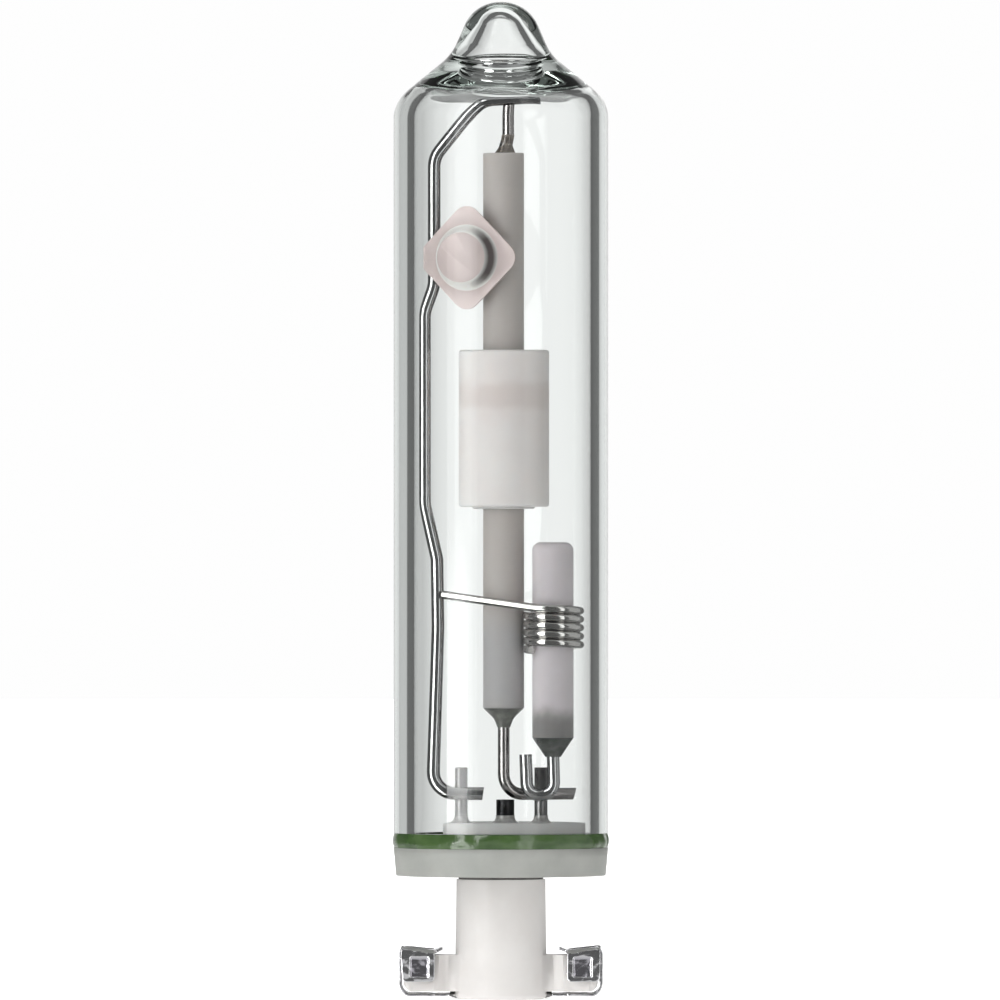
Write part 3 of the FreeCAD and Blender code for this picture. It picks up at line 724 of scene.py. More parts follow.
def new_piece(name: str, bm: BMesh, crease: Crease) -> Piece:
    """Makes a piece from a mesh in millimetres.

    Args:
        name: Name of the piece.
        bm: Its mesh, which is freed.
        crease: Which edges stay sharp.

    Returns:
        The object, linked to the scene.
    """
    bmesh.ops.remove_doubles(bm, verts=bm.verts, dist=MERGE)
    bmesh.ops.recalc_face_normals(bm, faces=bm.faces)
    bmesh.ops.scale(bm, vec=(MM, MM, MM), verts=bm.verts)
    mesh = bpy.data.meshes.new(name)
    bm.to_mesh(mesh)
    bm.free()
    mesh.shade_smooth()
    mesh.set_sharp_from_angle(angle=math.radians(crease.value))
    piece = bpy.data.objects.new(name, mesh)
    bpy.context.scene.collection.objects.link(piece)
    return piece


def in_millimetres(mesh: bpy.types.Mesh) -> BMesh:
    """Copies a mesh in metres to one in millimetres.

    Args:
        mesh: The mesh in metres.

    Returns:
        The copy.
    """
    bm = bmesh.new()
    bm.from_mesh(mesh)
    bmesh.ops.scale(bm, vec=(1 / MM, 1 / MM, 1 / MM), verts=bm.verts)
    return bm


def modified(piece: Piece) -> BMesh:
    """Turns an object with its modifiers into a plain mesh.

    Args:
        piece: The object, which is removed.

    Returns:
        The mesh, in millimetres.
    """
    graph = bpy.context.evaluated_depsgraph_get()
    mesh = bpy.data.meshes.new_from_object(piece.evaluated_get(graph))
    bpy.data.objects.remove(piece)
    bm = in_millimetres(mesh)
    bpy.data.meshes.remove(mesh)
    return bm


def turned_mesh(section: Section, at: Axis, around: int, closed: bool) -> BMesh:
    """Turns a half section about an upright axis.

    Args:
        section: Radius and height of its points.
        at: Place of the axis.
        around: Number of faces around.
        closed: Whether the last point joins the first, as on a tube.

    Returns:
        The mesh, in millimetres.
    """
    bm = bmesh.new()
    rings = []
    for r, z in section:
        if r < ON_AXIS:
            rings.append([bm.verts.new((at[0], at[1], z))] * around)
            continue
        angles = [math.tau * k / around for k in range(around)]
        rings.append([bm.verts.new((at[0] + r * math.cos(a), at[1] + r * math.sin(a), z)) for a in angles])
    pairs = list(zip(rings, rings[1:]))
    if closed:
        pairs.append((rings[-1], rings[0]))
    for low, high in pairs:
        for k in range(around):
            after = (k + 1) % around
            loop = list(dict.fromkeys((low[k], low[after], high[after], high[k])))
            if len(loop) > 2:
                bm.faces.new(loop)
    return bm


def turned(name: str, corners: list[Corner], at: Axis = (0.0, 0.0),
           closed: bool = False, around: int = 96) -> Piece:
    """Makes a round piece from the corners of its half section.

    Args:
        name: Name of the piece.
        corners: The corners of the section.
        at: Place of its axis.
        closed: Whether the last corner joins the first.
        around: Number of faces around.

    Returns:
        The piece.
    """
    return new_piece(name, turned_mesh(rounded(corners), at, around, closed), Crease.TURNED)


def copied(name: str, node: Piece, crease: Crease = Crease.CRISP) -> Piece:
    """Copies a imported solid, welds its loose triangles and smooths its round faces.

    Args:
        name: Name of the piece.
        node: Object of the solid.
        crease: Which edges stay sharp.

    Returns:
        The piece.
    """
    return new_piece(name, in_millimetres(node.data), crease)


def seat(piece: Piece, finish: Finish, node: str) -> None:
    """Gives a piece its finish and its body, and hides the solid it stands for.

    Args:
        piece: The piece.
        finish: Its finish.
        node: Node that it replaces.
    """
    piece.data.materials.clear()
    piece.data.materials.append(material_of(finish))
    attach(piece, BODY)
    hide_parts(node)
    log.info("%s stands for %s", piece.name, node)


def seat_copy(name: str, nodes: Nodes, node: str, finish: Finish,
              crease: Crease = Crease.CRISP) -> None:
    """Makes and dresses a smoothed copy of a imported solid.

    Args:
        name: Name of the piece.
        nodes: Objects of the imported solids.
        node: Node that is copied and replaced.
        finish: Finish of the piece.
        crease: Which edges stay sharp.
    """
    seat(copied(name, nodes[node], crease), finish, node)


class WireShop:
    """Makes round wires with a node tree that rounds a route's corners and gives it a thickness."""

    AROUND = 24

    def __init__(self) -> None:
        """Builds the tree."""
        self.tree = bpy.data.node_groups.new("bent_wire", "GeometryNodeTree")
        self.ports: dict[str, str] = {}
        self._port("Route", "Geometry")
        self._port("Wire radius", "Float")
        self._port("Pieces in a bend", "Int")
        self._port("Faces around", "Int")
        self._port("Finish", "Material")
        self.tree.interface.new_socket("Wire", in_out="OUTPUT", socket_type="NodeSocketGeometry")
        self._fill(Graph(self.tree))

    def _port(self, name: str, kind: str) -> None:
        """Adds a named input of some kind to the tree."""
        socket = self.tree.interface.new_socket(name, in_out="INPUT", socket_type="NodeSocket" + kind)
        self.ports[name] = socket.identifier

    def _fill(self, graph: Graph) -> None:
        """Adds the tree's nodes: the route's corners are rounded, then a circle is swept along it.

        Args:
            graph: The tree's graph.
        """
        start = graph.add("NodeGroupInput").outputs
        route = graph.add("GeometryNodeMeshToCurve", {"Mesh": start["Route"]}).outputs["Curve"]
        rounding = graph.add("GeometryNodeInputNamedAttribute", {"Name": "round"}, data_type="FLOAT")
        path = graph.add("GeometryNodeFilletCurve", {
            "Curve": route,
            "Count": start["Pieces in a bend"],
            "Radius": rounding.outputs["Attribute"],
        }, mode="POLY").outputs["Curve"]
        circle = graph.add("GeometryNodeCurvePrimitiveCircle", {
            "Resolution": start["Faces around"],
            "Radius": start["Wire radius"],
        }).outputs["Curve"]
        swept = graph.add("GeometryNodeCurveToMesh", {
            "Curve": self._stored(graph, path, "along", "Length"),
            "Profile Curve": self._stored(graph, circle, "around", "Factor"),
            "Fill Caps": True,
        }).outputs["Mesh"]
        real = graph.add("GeometryNodeRealizeInstances", {"Geometry": swept}).outputs["Geometry"]
        dressed = {"Geometry": real, "Material": start["Finish"]}
        wire = graph.add("GeometryNodeSetMaterial", dressed).outputs["Geometry"]
        graph.add("NodeGroupOutput", {"Wire": wire})

    def _stored(self, graph: Graph, curve: Socket, name: str, output: str) -> Socket:
        """Keeps a spline parameter on a curve's points.

        Args:
            graph: The tree's graph.
            curve: The curve.
            name: Name that the value is kept under.
            output: Which parameter.

        Returns:
            The curve with the value.
        """
        value = graph.add("GeometryNodeSplineParameter").outputs[output]
        inputs = {"Geometry": curve, "Name": name, "Value": value}
        return graph.add("GeometryNodeStoreNamedAttribute", inputs).outputs["Geometry"]

    def wire(self, name: str, route: list[Bend], radius: float, finish: Finish, steps: int = 12,
             cut: Cut | None = None) -> Piece:
        """Makes a wire along a route.

        Args:
            name: Name of the piece.
            route: Its corners, in millimetres.
            radius: Radius of the wire.
            finish: Its finish.
            steps: Number of pieces in a bend.
            cut: Slanted cut of its end.

        Returns:
            The wire as a plain mesh.
        """
        line = bpy.data.meshes.new(name + "_route")
        lines = [(i, i + 1) for i in range(len(route) - 1)]
        line.from_pydata([Vector(bend[:3]) * MM for bend in route], lines, [])
        rounds = line.attributes.new("round", "FLOAT", "POINT")
        for item, bend in zip(rounds.data, route):
            item.value = bend.round * MM
        guide = bpy.data.objects.new(name + "_route", line)
        bpy.context.scene.collection.objects.link(guide)
        modifier = guide.modifiers.new("bent_wire", "NODES")
        modifier.node_group = self.tree
        modifier[self.ports["Wire radius"]] = radius * MM
        modifier[self.ports["Pieces in a bend"]] = steps
        modifier[self.ports["Faces around"]] = self.AROUND
        modifier[self.ports["Finish"]] = material_of(finish)
        bm = modified(guide)
        if cut is not None:
            self._trim(bm, cut)
        return new_piece(name, bm, Crease.WIRE)

    def _trim(self, bm: BMesh, cut: Cut) -> None:
        """Cuts a wire that runs off to the right, so that it is longest at the top.

        Args:
            bm: Mesh of the wire, in millimetres.
            cut: The cut.
        """
        slant = math.radians(cut.slant)
        bmesh.ops.remove_doubles(bm, verts=bm.verts, dist=MERGE)
        parts = bm.verts[:] + bm.edges[:] + bm.faces[:]
        made = bmesh.ops.bisect_plane(bm, geom=parts, dist=1e-6, plane_co=(cut.x, 0.0, cut.z),
                                      plane_no=(math.cos(slant), 0.0, -math.sin(slant)), clear_outer=True)
        rim = [item for item in made["geom_cut"] if isinstance(item, bmesh.types.BMEdge)]
        bmesh.ops.contextual_create(bm, geom=rim)


@dataclass
class BlownBulb:
    """Clear bulb with its shoulder, thick throat and hollow tip."""

    wall: float = 1.09
    bore_shift: float = 0.05
    shoulder_rise: float = 2.65
    shoulder_round: float = 2.2
    tip_rise: float = 3.03
    tip_foot_r: float = 2.82
    tip_foot_round: float = 3.0
    tip_crown_r: float = 1.54
    tip_crown_round: float = 2.2
    roof_rise: float = 0.88
    roof_fall: float = 0.72
    roof_round: float = 1.45
    throat_r: float = 1.6
    throat_length: float = 0.62
    throat_round: float = 0.28
    tip_wall: float = 1.0
    hollow_r: float = 2.5
    hollow_round: float = 0.45
    hollow_waist_r: float = 1.48
    hollow_waist_rise: float = 0.38
    hollow_waist_round: float = 2.0
    hollow_crown_r: float = 0.58
    hollow_crown_round: float = 0.9
    seam: float = 0.01
    bore_margin: float = 0.01
    shift_rise: float = 1.0
    steps: int = 16
    uneven: float = 0.05
    uneven_scale: float = 0.45
    around: int = 256

    def build(self) -> None:
        """Makes the bulb and dresses it."""
        low, high = span_of("outer_bulb")
        outer = high.x
        tip_foot = high.z - self.tip_rise
        shoulder = tip_foot - self.shoulder_rise
        roof = shoulder + self.roof_rise
        throat = roof + self.throat_length
        crown = high.z - self.tip_wall
        bore = outer - self.wall
        foot = low.z + self.seam
        corners = [
            Corner(0, crown),
            Corner(self.hollow_crown_r, crown, self.hollow_crown_round),
            Corner(self.hollow_waist_r, tip_foot + self.hollow_waist_rise, self.hollow_waist_round),
            Corner(self.hollow_r, throat, self.hollow_round),
            Corner(self.throat_r, throat, self.throat_round),
            Corner(self.throat_r, roof, self.throat_round),
            Corner(bore, roof - self.roof_fall, self.roof_round),
            Corner(bore, foot),
            Corner(outer, foot),
            Corner(outer, shoulder, self.shoulder_round),
            Corner(self.tip_foot_r, tip_foot, self.tip_foot_round),
            Corner(self.tip_crown_r, high.z, self.tip_crown_round),
            Corner(0, high.z),
        ]
        bm = turned_mesh(rounded(corners, self.steps), (0.0, 0.0), self.around, False)
        for vert in bm.verts:
            if vert.co.z < roof and math.hypot(vert.co.x, vert.co.y) < bore + self.bore_margin:
                vert.co.x += self.bore_shift * min(roof - vert.co.z, self.shift_rise)
        self._melt(bm, shoulder - self.shoulder_round, high.z)
        seat(new_piece("glass_bulb", bm, Crease.ROUND), BULB_GLASS, "outer_bulb")

    def _melt(self, bm: BMesh, start: float, top: float) -> None:
        """Makes the hand-worked end a little uneven.

        Args:
            bm: Mesh of the bulb.
            start: Height where the worked end begins.
            top: Height that the bulb stays under.
        """
        for vert in bm.verts:
            share = min(max((vert.co.z - start) / self.shoulder_rise, 0.0), 1.0)
            if share == 0.0:
                continue
            vert.co += noise.noise_vector(vert.co * self.uneven_scale) * self.uneven * share
            vert.co.z = min(vert.co.z, top)


@dataclass
class SolderRing:
    """Green solder glass between the bulb and the disc."""

    bulge: float = 0.14
    margin: float = 0.01
    inner_bulge: float = 0.08
    round: float = 1.05
    inner_round: float = 0.27
    bulb_wall: float = 1.13
    rim: float = 0.02
    wander: float = 0.06
    wander_scale: float = 0.7
    around: int = 192

    def build(self) -> None:
        """Makes the ring and dresses it."""
        low, high = span_of("seal_ring")
        belly = radius_of("seal_ring") - self.margin
        outer = belly - self.bulge
        bore = span_of("outer_bulb")[1].x - self.bulb_wall
        middle = (low.z + high.z) / 2
        corners = [
            Corner(bore, low.z),
            Corner(outer, low.z),
            Corner(belly, middle, self.round),
            Corner(outer, high.z),
            Corner(bore, high.z),
            Corner(bore - self.inner_bulge, middle, self.inner_round),
        ]
        bm = turned_mesh(rounded(corners), (0.0, 0.0), self.around, True)
        for vert in bm.verts:
            if min(vert.co.z - low.z, high.z - vert.co.z) < self.rim:
                continue
            flat = Vector((vert.co.x, vert.co.y, 0.0))
            vert.co -= flat.normalized() * abs(noise.noise(vert.co * self.wander_scale)) * self.wander
        seat(new_piece("solder_ring", bm, Crease.FUSED), RING_GLASS, "seal_ring")


@dataclass
class FoldedContact:
    """Sheet metal contact, crumpled over its lug, with a panel pressed into each cheek."""

    way: int
    cell: float = 0.032
    core_low: Place = (3.5, -1.0, -6.2)
    core_high: Place = (5.2, 1.0, -4.8)
    panel_x: float = 4.66
    panel_z: float = -5.22
    panel_half_x: float = 0.44
    panel_half_z: float = 0.48
    panel_edge: float = 0.13
    rim: float = 0.09
    crumple: float = 0.10
    crumple_scale: float = 0.9
    fold: float = 0.06
    fold_scale: float = 1.7
    seed: Place = (7.0, 3.0, 1.0)
    cheek: float = 0.5
    smoothings: int = 2

    def build(self, nodes: Nodes) -> None:
        """Makes the contact and dresses it.

        Args:
            nodes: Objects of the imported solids.
        """
        side = "left" if self.way < 0 else "right"
        node = "contact_clip_" + side
        fine = copied("contact_" + side, nodes[node])
        modifier = fine.modifiers.new("even_cells", "REMESH")
        modifier.mode = "VOXEL"
        modifier.voxel_size = self.cell * MM
        bm = modified(fine)
        for _ in range(self.smoothings):
            bmesh.ops.smooth_vert(bm, verts=bm.verts, factor=0.5,
                                  use_axis_x=True, use_axis_y=True, use_axis_z=True)
        pressed = [self._pressed(vert.co) for vert in bm.verts]
        for vert in bm.verts:
            vert.co += self._push(vert.co)
        piece = new_piece("contact_" + side, bm, Crease.SHEET)
        # Share in the pressed panel, which the finish paints darker: painted shade.
        shares = piece.data.attributes.new("pressed", "FLOAT", "POINT")
        for item, share in zip(shares.data, pressed):
            item.value = share
        seat(piece, CONTACT, node)

    def _outward(self, spot: Vector) -> Vector:
        """Way from the lug to a place on the right-hand sheet, of length 1."""
        spans = zip(spot, self.core_low, self.core_high)
        return (spot - Vector(min(max(part, low), high) for part, low, high in spans)).normalized()

    def _pressed(self, place: Vector) -> float:
        """Share by which a place on the sheet lies in the pressed panel of a cheek."""
        spot = Vector((place.x * self.way, place.y, place.z))
        return self._panel(spot) if abs(self._outward(spot).y) > self.cheek else 0.0

    def _push(self, place: Vector) -> Vector:
        """How far the sheet stands off its flat form at a place, away from the lug.

        Args:
            place: Place on the sheet, in millimetres.

        Returns:
            The shift.
        """
        spot = Vector((place.x * self.way, place.y, place.z))
        out = self._outward(spot)
        seed = Vector((self.seed[0] * self.way, *self.seed[1:]))
        soft = 0.5 + 0.5 * noise.noise(spot * self.crumple_scale + seed)
        sharp = abs(noise.noise(spot * self.fold_scale - seed))
        size = self.crumple * soft + self.fold * sharp
        if abs(out.y) > self.cheek:
            size += self.rim * (1.0 - self._panel(spot))
        return Vector((out.x * self.way, out.y, out.z)) * size

    def _panel(self, spot: Vector) -> float:
        """Tells how far a place on a cheek lies in the pressed panel.

        Args:
            spot: The place, as on the right-hand sheet.

        Returns:
            The share, from 0 to 1.
        """
        off_x = (abs(spot.x - self.panel_x) - self.panel_half_x) / self.panel_edge
        off_z = (abs(spot.z - self.panel_z) - self.panel_half_z) / self.panel_edge
        share = 1.0 - min(max(math.hypot(max(off_x, 0.0), max(off_z, 0.0)), 0.0), 1.0)
        return share * share * (3.0 - 2.0 * share)


@dataclass
class CeramicBase:
    """Disc, cement, post with lugs, and the folded contacts on the lugs."""

    nodes: Nodes

    def build(self) -> None:
        """Makes the base's pieces and dresses them."""
        seat_copy("ceramic_disc", self.nodes, "base_disc", DISC_CERAMIC)
        seat_copy("ceramic_post", self.nodes, "cap_body", CAP_CERAMIC)
        seat_copy("cement_layer", self.nodes, "cap_cement", CEMENT)
        for way in (-1, 1):
            FoldedContact(way).build(self.nodes)


@dataclass
class Stem:
    """Pins, exhaust tube, their beads and the tails of the pins."""

    nodes: Nodes
    pin_round: float = 0.06
    around: int = 48

    def build(self) -> None:
        """Makes the stem's pieces and dresses them."""
        for side in ("left", "right"):
            self._pin(side)
            self._fused("solder_bead_" + side, "pin_bead_" + side, BEAD_GLASS)
            self._fused("tail_" + side, "lead_tail_" + side, TAIL_WIRE)
        self._fused("solder_bead_middle", "exhaust_bead", BEAD_GLASS)
        seat_copy("exhaust_tube", self.nodes, "exhaust_stub", STUB_METAL)

    def _fused(self, name: str, node: str, finish: Finish) -> None:
        """Copies a solid that is round all over."""
        seat_copy(name, self.nodes, node, finish, Crease.ROUND)

    def _pin(self, side: str) -> None:
        """Makes one pin, with an eased upper edge.

        Args:
            side: Which pin, left or right.
        """
        node = "lead_pin_" + side
        low, high = span_of(node)
        r = radius_of(node)
        pin = turned("pin_" + side, [
            Corner(0, low.z),
            Corner(r, low.z),
            Corner(r, high.z, self.pin_round),
            Corner(0, high.z),
        ], ((low.x + high.x) / 2, 0.0), around=self.around)
        seat(pin, PIN_METAL, node)


@dataclass
class ArcTube:
    """Discharge vessel, its plugs and capillaries, their sealing glass and feed wires."""

    nodes: Nodes
    x: float = 0.14
    vessel_wall: float = 0.81
    vessel_round: float = 0.17
    vessel_around: int = 128
    plug_round: float = 0.08
    capillary_round: float = 0.06
    bore: float = 0.373
    feed_r: float = 0.343
    feed_depth: float = 2.40
    feed_top_x: float = 0.40
    lean_low: float = 0.16
    lean_high: float = 0.97
    lean_round: float = 0.8
    foot_z: float = 4.66
    foot_x: float = 4.40
    foot_slope: float = 0.36
    foot_round: float = 1.14
    foot_cut: float = 18.0
    upper_frit_x: float = 0.21
    upper_frit_r: float = 0.61
    upper_frit_neck: float = 0.42
    upper_frit_round: float = 0.30
    frit_waist_wall: float = 0.22
    frit_waist_rise: float = 0.50
    frit_waist_round: float = 0.8
    frit_tip_wall: float = 0.03
    frit_around: int = 64

    def build(self, shop: WireShop) -> None:
        """Makes the arc tube's pieces and dresses them.

        Args:
            shop: Maker of wires.
        """
        bore = radius_of("arc_body") - self.vessel_wall
        self._tube("discharge_vessel", "arc_body", VESSEL, bore, self.vessel_round,
                   self.vessel_around)
        bore = span_of("capillary_upper")[1].x - self.x
        for end in ("lower", "upper"):
            self._tube("plug_" + end, "arc_plug_" + end, VESSEL, bore, self.plug_round)
            self._tube("capillary_tube_" + end, "capillary_" + end, CAPILLARY,
                       self.bore, self.capillary_round)
        self._feeds(shop)
        self._frits()

    def _tube(self, name: str, node: str, finish: Finish, bore: float, edge: float,
              around: int = 96) -> None:
        """Makes a straight ceramic tube with eased outer edges.

        Args:
            name: Name of the piece.
            node: Node that it stands for.
            finish: Its finish.
            bore: Radius of its bore.
            edge: Rounding of the outer edges.
            around: Number of faces around.
        """
        low, high = span_of(node)
        r = radius_of(node)
        tube = turned(name, [
            Corner(bore, low.z),
            Corner(r, low.z, edge),
            Corner(r, high.z, edge),
            Corner(bore, high.z),
        ], (self.x, 0.0), closed=True, around=around)
        seat(tube, finish, node)

    def _feeds(self, shop: WireShop) -> None:
        """Makes the two niobium wires.

        Args:
            shop: Maker of wires.
        """
        top = span_of("capillary_upper")[1].z
        foot = span_of("capillary_lower")[0].z
        joint = span_of("feedthrough_upper")[1].z
        upper = [
            Bend(self.x, 0, top - self.feed_depth),
            Bend(self.x, 0, top + self.lean_low, self.lean_round),
            Bend(self.feed_top_x, 0, top + self.lean_high, self.lean_round),
            Bend(self.feed_top_x, 0, joint),
        ]
        wire = shop.wire("feed_wire_upper", upper, self.feed_r, GREY_WIRE)
        seat(wire, GREY_WIRE, "feedthrough_upper")
        end_x = self.foot_x + self.feed_r
        lower = [
            Bend(self.x, 0, foot + self.feed_depth),
            Bend(self.x, 0, self.foot_z, self.foot_round),
            Bend(end_x, (end_x - self.x) * self.foot_slope, self.foot_z),
        ]
        cut = Cut(self.foot_x, self.foot_z, self.foot_cut)
        wire = shop.wire("feed_wire_lower", lower, self.feed_r, GREY_WIRE, cut=cut)
        seat(wire, GREY_WIRE, "feedthrough_lower")

    def _frits(self) -> None:
        """Makes the sealing glass at both ends."""
        low, high = span_of("frit_lower")
        lower = turned("sealing_cone_lower", [
            Corner(self.feed_r, high.z),
            Corner(self.feed_r, low.z),
            Corner(self.feed_r + self.frit_tip_wall, low.z),
            Corner(self.feed_r + self.frit_waist_wall, low.z + self.frit_waist_rise, self.frit_waist_round),
            Corner(radius_of("frit_lower"), high.z),
        ], (self.x, 0.0), closed=True, around=self.frit_around)
        seat(lower, LOWER_FRIT, "frit_lower")
        low, high = span_of("frit_upper")
        neck_r = self.feed_r + self.frit_tip_wall
        bm = turned_mesh(rounded([
            Corner(self.feed_r, high.z),
            Corner(self.feed_r, low.z),
            Corner(self.upper_frit_r, low.z),
            Corner(neck_r, low.z + self.upper_frit_neck, self.upper_frit_round),
            Corner(neck_r, high.z),
        ]), (0.0, 0.0), self.frit_around, True)
        for vert in bm.verts:
            share = (vert.co.z - low.z) / (high.z - low.z)
            vert.co.x += self.upper_frit_x + (self.feed_top_x - self.upper_frit_x) * share
        seat(new_piece("sealing_cone_upper", bm, Crease.TURNED), UPPER_FRIT, "frit_upper")


@dataclass
class SupportWire:
    """Long wire that carries the arc tube and the getter."""

    r: float = 0.37
    pin_r: float = 0.37
    end_x: float = 2.28
    turn_x: float = -0.95
    turn_round: float = 1.2
    slope_x: float = -2.35
    slope_drop: float = 1.55
    slope_round: float = 1.4
    upper_x: float = -3.86
    upper_drop: float = 3.42
    upper_round: float = 1.5
    step_drop: float = 10.75
    step_length: float = 1.50
    step_round: float = 2.0
    middle_x: float = -4.42
    crank_rise: float = 16.50
    crank_round: float = 2.5
    crank_x: float = -3.70
    elbow_rise: float = 13.40
    elbow_round: float = 1.6
    lower_x: float = -3.64
    lean_rise: float = 9.54
    lean_round: float = 6.0
    foot_x: float = -3.87
    foot_round: float = 1.25
    foot_end_x: float = -1.02
    foot_cut: float = 8.0

    def build(self, shop: WireShop) -> None:
        """Makes the wire and dresses it.

        Args:
            shop: Maker of wires.
        """
        low, high = span_of("frame_wire")
        top, foot = high.z - self.r, low.z + self.r
        step = top - self.step_drop
        foot_y = -(self.pin_r + self.r)
        route = [
            Bend(self.end_x, 0, top),
            Bend(self.turn_x, 0, top, self.turn_round),
            Bend(self.slope_x, 0, top - self.slope_drop, self.slope_round),
            Bend(self.upper_x, 0, top - self.upper_drop, self.upper_round),
            Bend(self.upper_x, 0, step, self.step_round),
            Bend(self.middle_x, 0, step - self.step_length, self.step_round),
            Bend(self.middle_x, 0, foot + self.crank_rise, self.crank_round),
            Bend(self.crank_x, 0, foot + self.elbow_rise, self.elbow_round),
            Bend(self.lower_x, 0, foot + self.lean_rise, self.lean_round),
            Bend(self.foot_x, foot_y, foot, self.foot_round),
            Bend(self.foot_end_x + self.r, foot_y, foot),
        ]
        cut = Cut(self.foot_end_x, foot, self.foot_cut)
        wire = shop.wire("support_wire", route, self.r, BRIGHT_WIRE, cut=cut)
        seat(wire, BRIGHT_WIRE, "frame_wire")


@dataclass
class Igniter:
    """Ceramic capsule with its lead, its sealing glass and the coil round it."""

    wall: float = 0.50
    cap: float = 0.70
    round: float = 0.46
    frit_h: float = 1.09
    frit_tip_r: float = 0.44
    fill_h: float = 1.40
    fill_round: float = 0.3
    lead_r: float = 0.357
    lead_inside: float = 3.4
    lead_round: float = 1.0
    pin_r: float = 0.37
    u_drop: float = 1.58
    u_right_out: float = 0.07
    u_width: float = 1.511
    u_bend: float = 0.74
    u_lean: float = 0.086
    u_free_rise: float = 2.33
    coil_r: float = 0.238
    coil_mean_r: float = 1.466
    coil_pitch: float = 0.483
    coil_turns: float = 4.9
    coil_arcs: int = 10
    coil_steps: int = 4
    coil_bend_fit: float = 0.999
    coil_rise: float = 7.38
    lead_rise: float = 0.78
    lead_y: float = -0.45
    lead_bend_at: float = 0.5
    lead_bend: float = 6.0
    weld_x: float = -3.32

    def build(self, shop: WireShop) -> None:
        """Makes the igniter's pieces and dresses them.

        Args:
            shop: Maker of wires.
        """
        low, high = span_of("enhancer_capsule")
        at = ((low.x + high.x) / 2, (low.y + high.y) / 2)
        r = radius_of("enhancer_capsule")
        bore = r - self.wall
        capsule = turned("igniter_capsule", [
            Corner(0, high.z - self.cap),
            Corner(bore, high.z - self.cap),
            Corner(bore, low.z),
            Corner(r, low.z),
            Corner(r, high.z, self.round),
            Corner(0, high.z),
        ], at)
        seat(capsule, CAPSULE, "enhancer_capsule")
        tip = low.z - self.frit_h
        frit = turned("igniter_sealing_glass", [
            Corner(0, low.z + self.fill_h),
            Corner(bore, low.z + self.fill_h, self.fill_round),
            Corner(bore, low.z),
            Corner(r, low.z),
            Corner(self.frit_tip_r, tip),
            Corner(0, tip),
        ], at)
        seat(frit, CAPSULE_FRIT, "enhancer_frit")
        self._lead(shop, at, low.z)
        self._coil(shop, at, low.z)

    def _lead(self, shop: WireShop, at: Axis, foot: float) -> None:
        """Makes the lead that turns up in front of the right pin.

        Args:
            shop: Maker of wires.
            at: Place of the capsule's axis.
            foot: Height of the capsule's lower end.
        """
        lead_y = -(self.pin_r + self.lead_r)
        bottom = span_of("lead_pin_right")[1].z - self.u_drop
        right = at[0] + self.u_right_out
        left = right - self.u_width
        route = [
            Bend(*at, foot + self.lead_inside),
            Bend(*at, foot - self.frit_h, self.lead_round),
            Bend(right, lead_y, bottom, self.u_bend),
            Bend(left, lead_y, bottom, self.u_bend),
            Bend(left - self.u_lean, lead_y, bottom + self.u_free_rise),
        ]
        wire = shop.wire("igniter_lead", route, self.lead_r, BRIGHT_WIRE)
        seat(wire, BRIGHT_WIRE, "enhancer_lead")

    def _coil(self, shop: WireShop, at: Axis, foot: float) -> None:
        """Makes the coil and its lead to the support wire, worked out from corner to corner.

        Args:
            shop: Maker of wires.
            at: Place of the capsule's axis.
            foot: Height of the capsule's lower end.
        """
        top = foot + self.coil_rise
        reach = math.hypot(at[0] - self.weld_x, at[1] - self.lead_y)
        bearing = math.atan2(self.lead_y - at[1], self.weld_x - at[0])
        end = bearing + math.acos(self.coil_mean_r / reach)
        corner_r = self.coil_mean_r / math.cos(math.pi / self.coil_arcs)
        count = round(self.coil_turns * self.coil_arcs)
        corners = []
        for k in range(count, -2, -1):
            steps = k + 0.5
            angle = end + steps * math.tau / self.coil_arcs
            x, y = at[0] + corner_r * math.cos(angle), at[1] + corner_r * math.sin(angle)
            corners.append(Vector((x, y, top - steps * self.coil_pitch / self.coil_arcs)))
        half = (corners[0] - corners[1]).angle(corners[2] - corners[1]) / 2
        bend = (corners[1] - corners[0]).length / 2 * math.tan(half) * self.coil_bend_fit
        start = (corners[0] + corners[1]) / 2
        joint = (corners[-2] + corners[-1]) / 2
        knee = joint + (corners[-1] - corners[-2]).normalized() * self.lead_bend_at
        route = [Bend(*start)]
        route += [Bend(*corner, bend) for corner in corners[1:-1]]
        route += [Bend(*knee, self.lead_bend), Bend(self.weld_x, self.lead_y, top + self.lead_rise)]
        wire = shop.wire("ignition_coil", route, self.coil_r, COIL_WIRE, self.coil_steps)
        seat(wire, COIL_WIRE, "enhancer_coil")


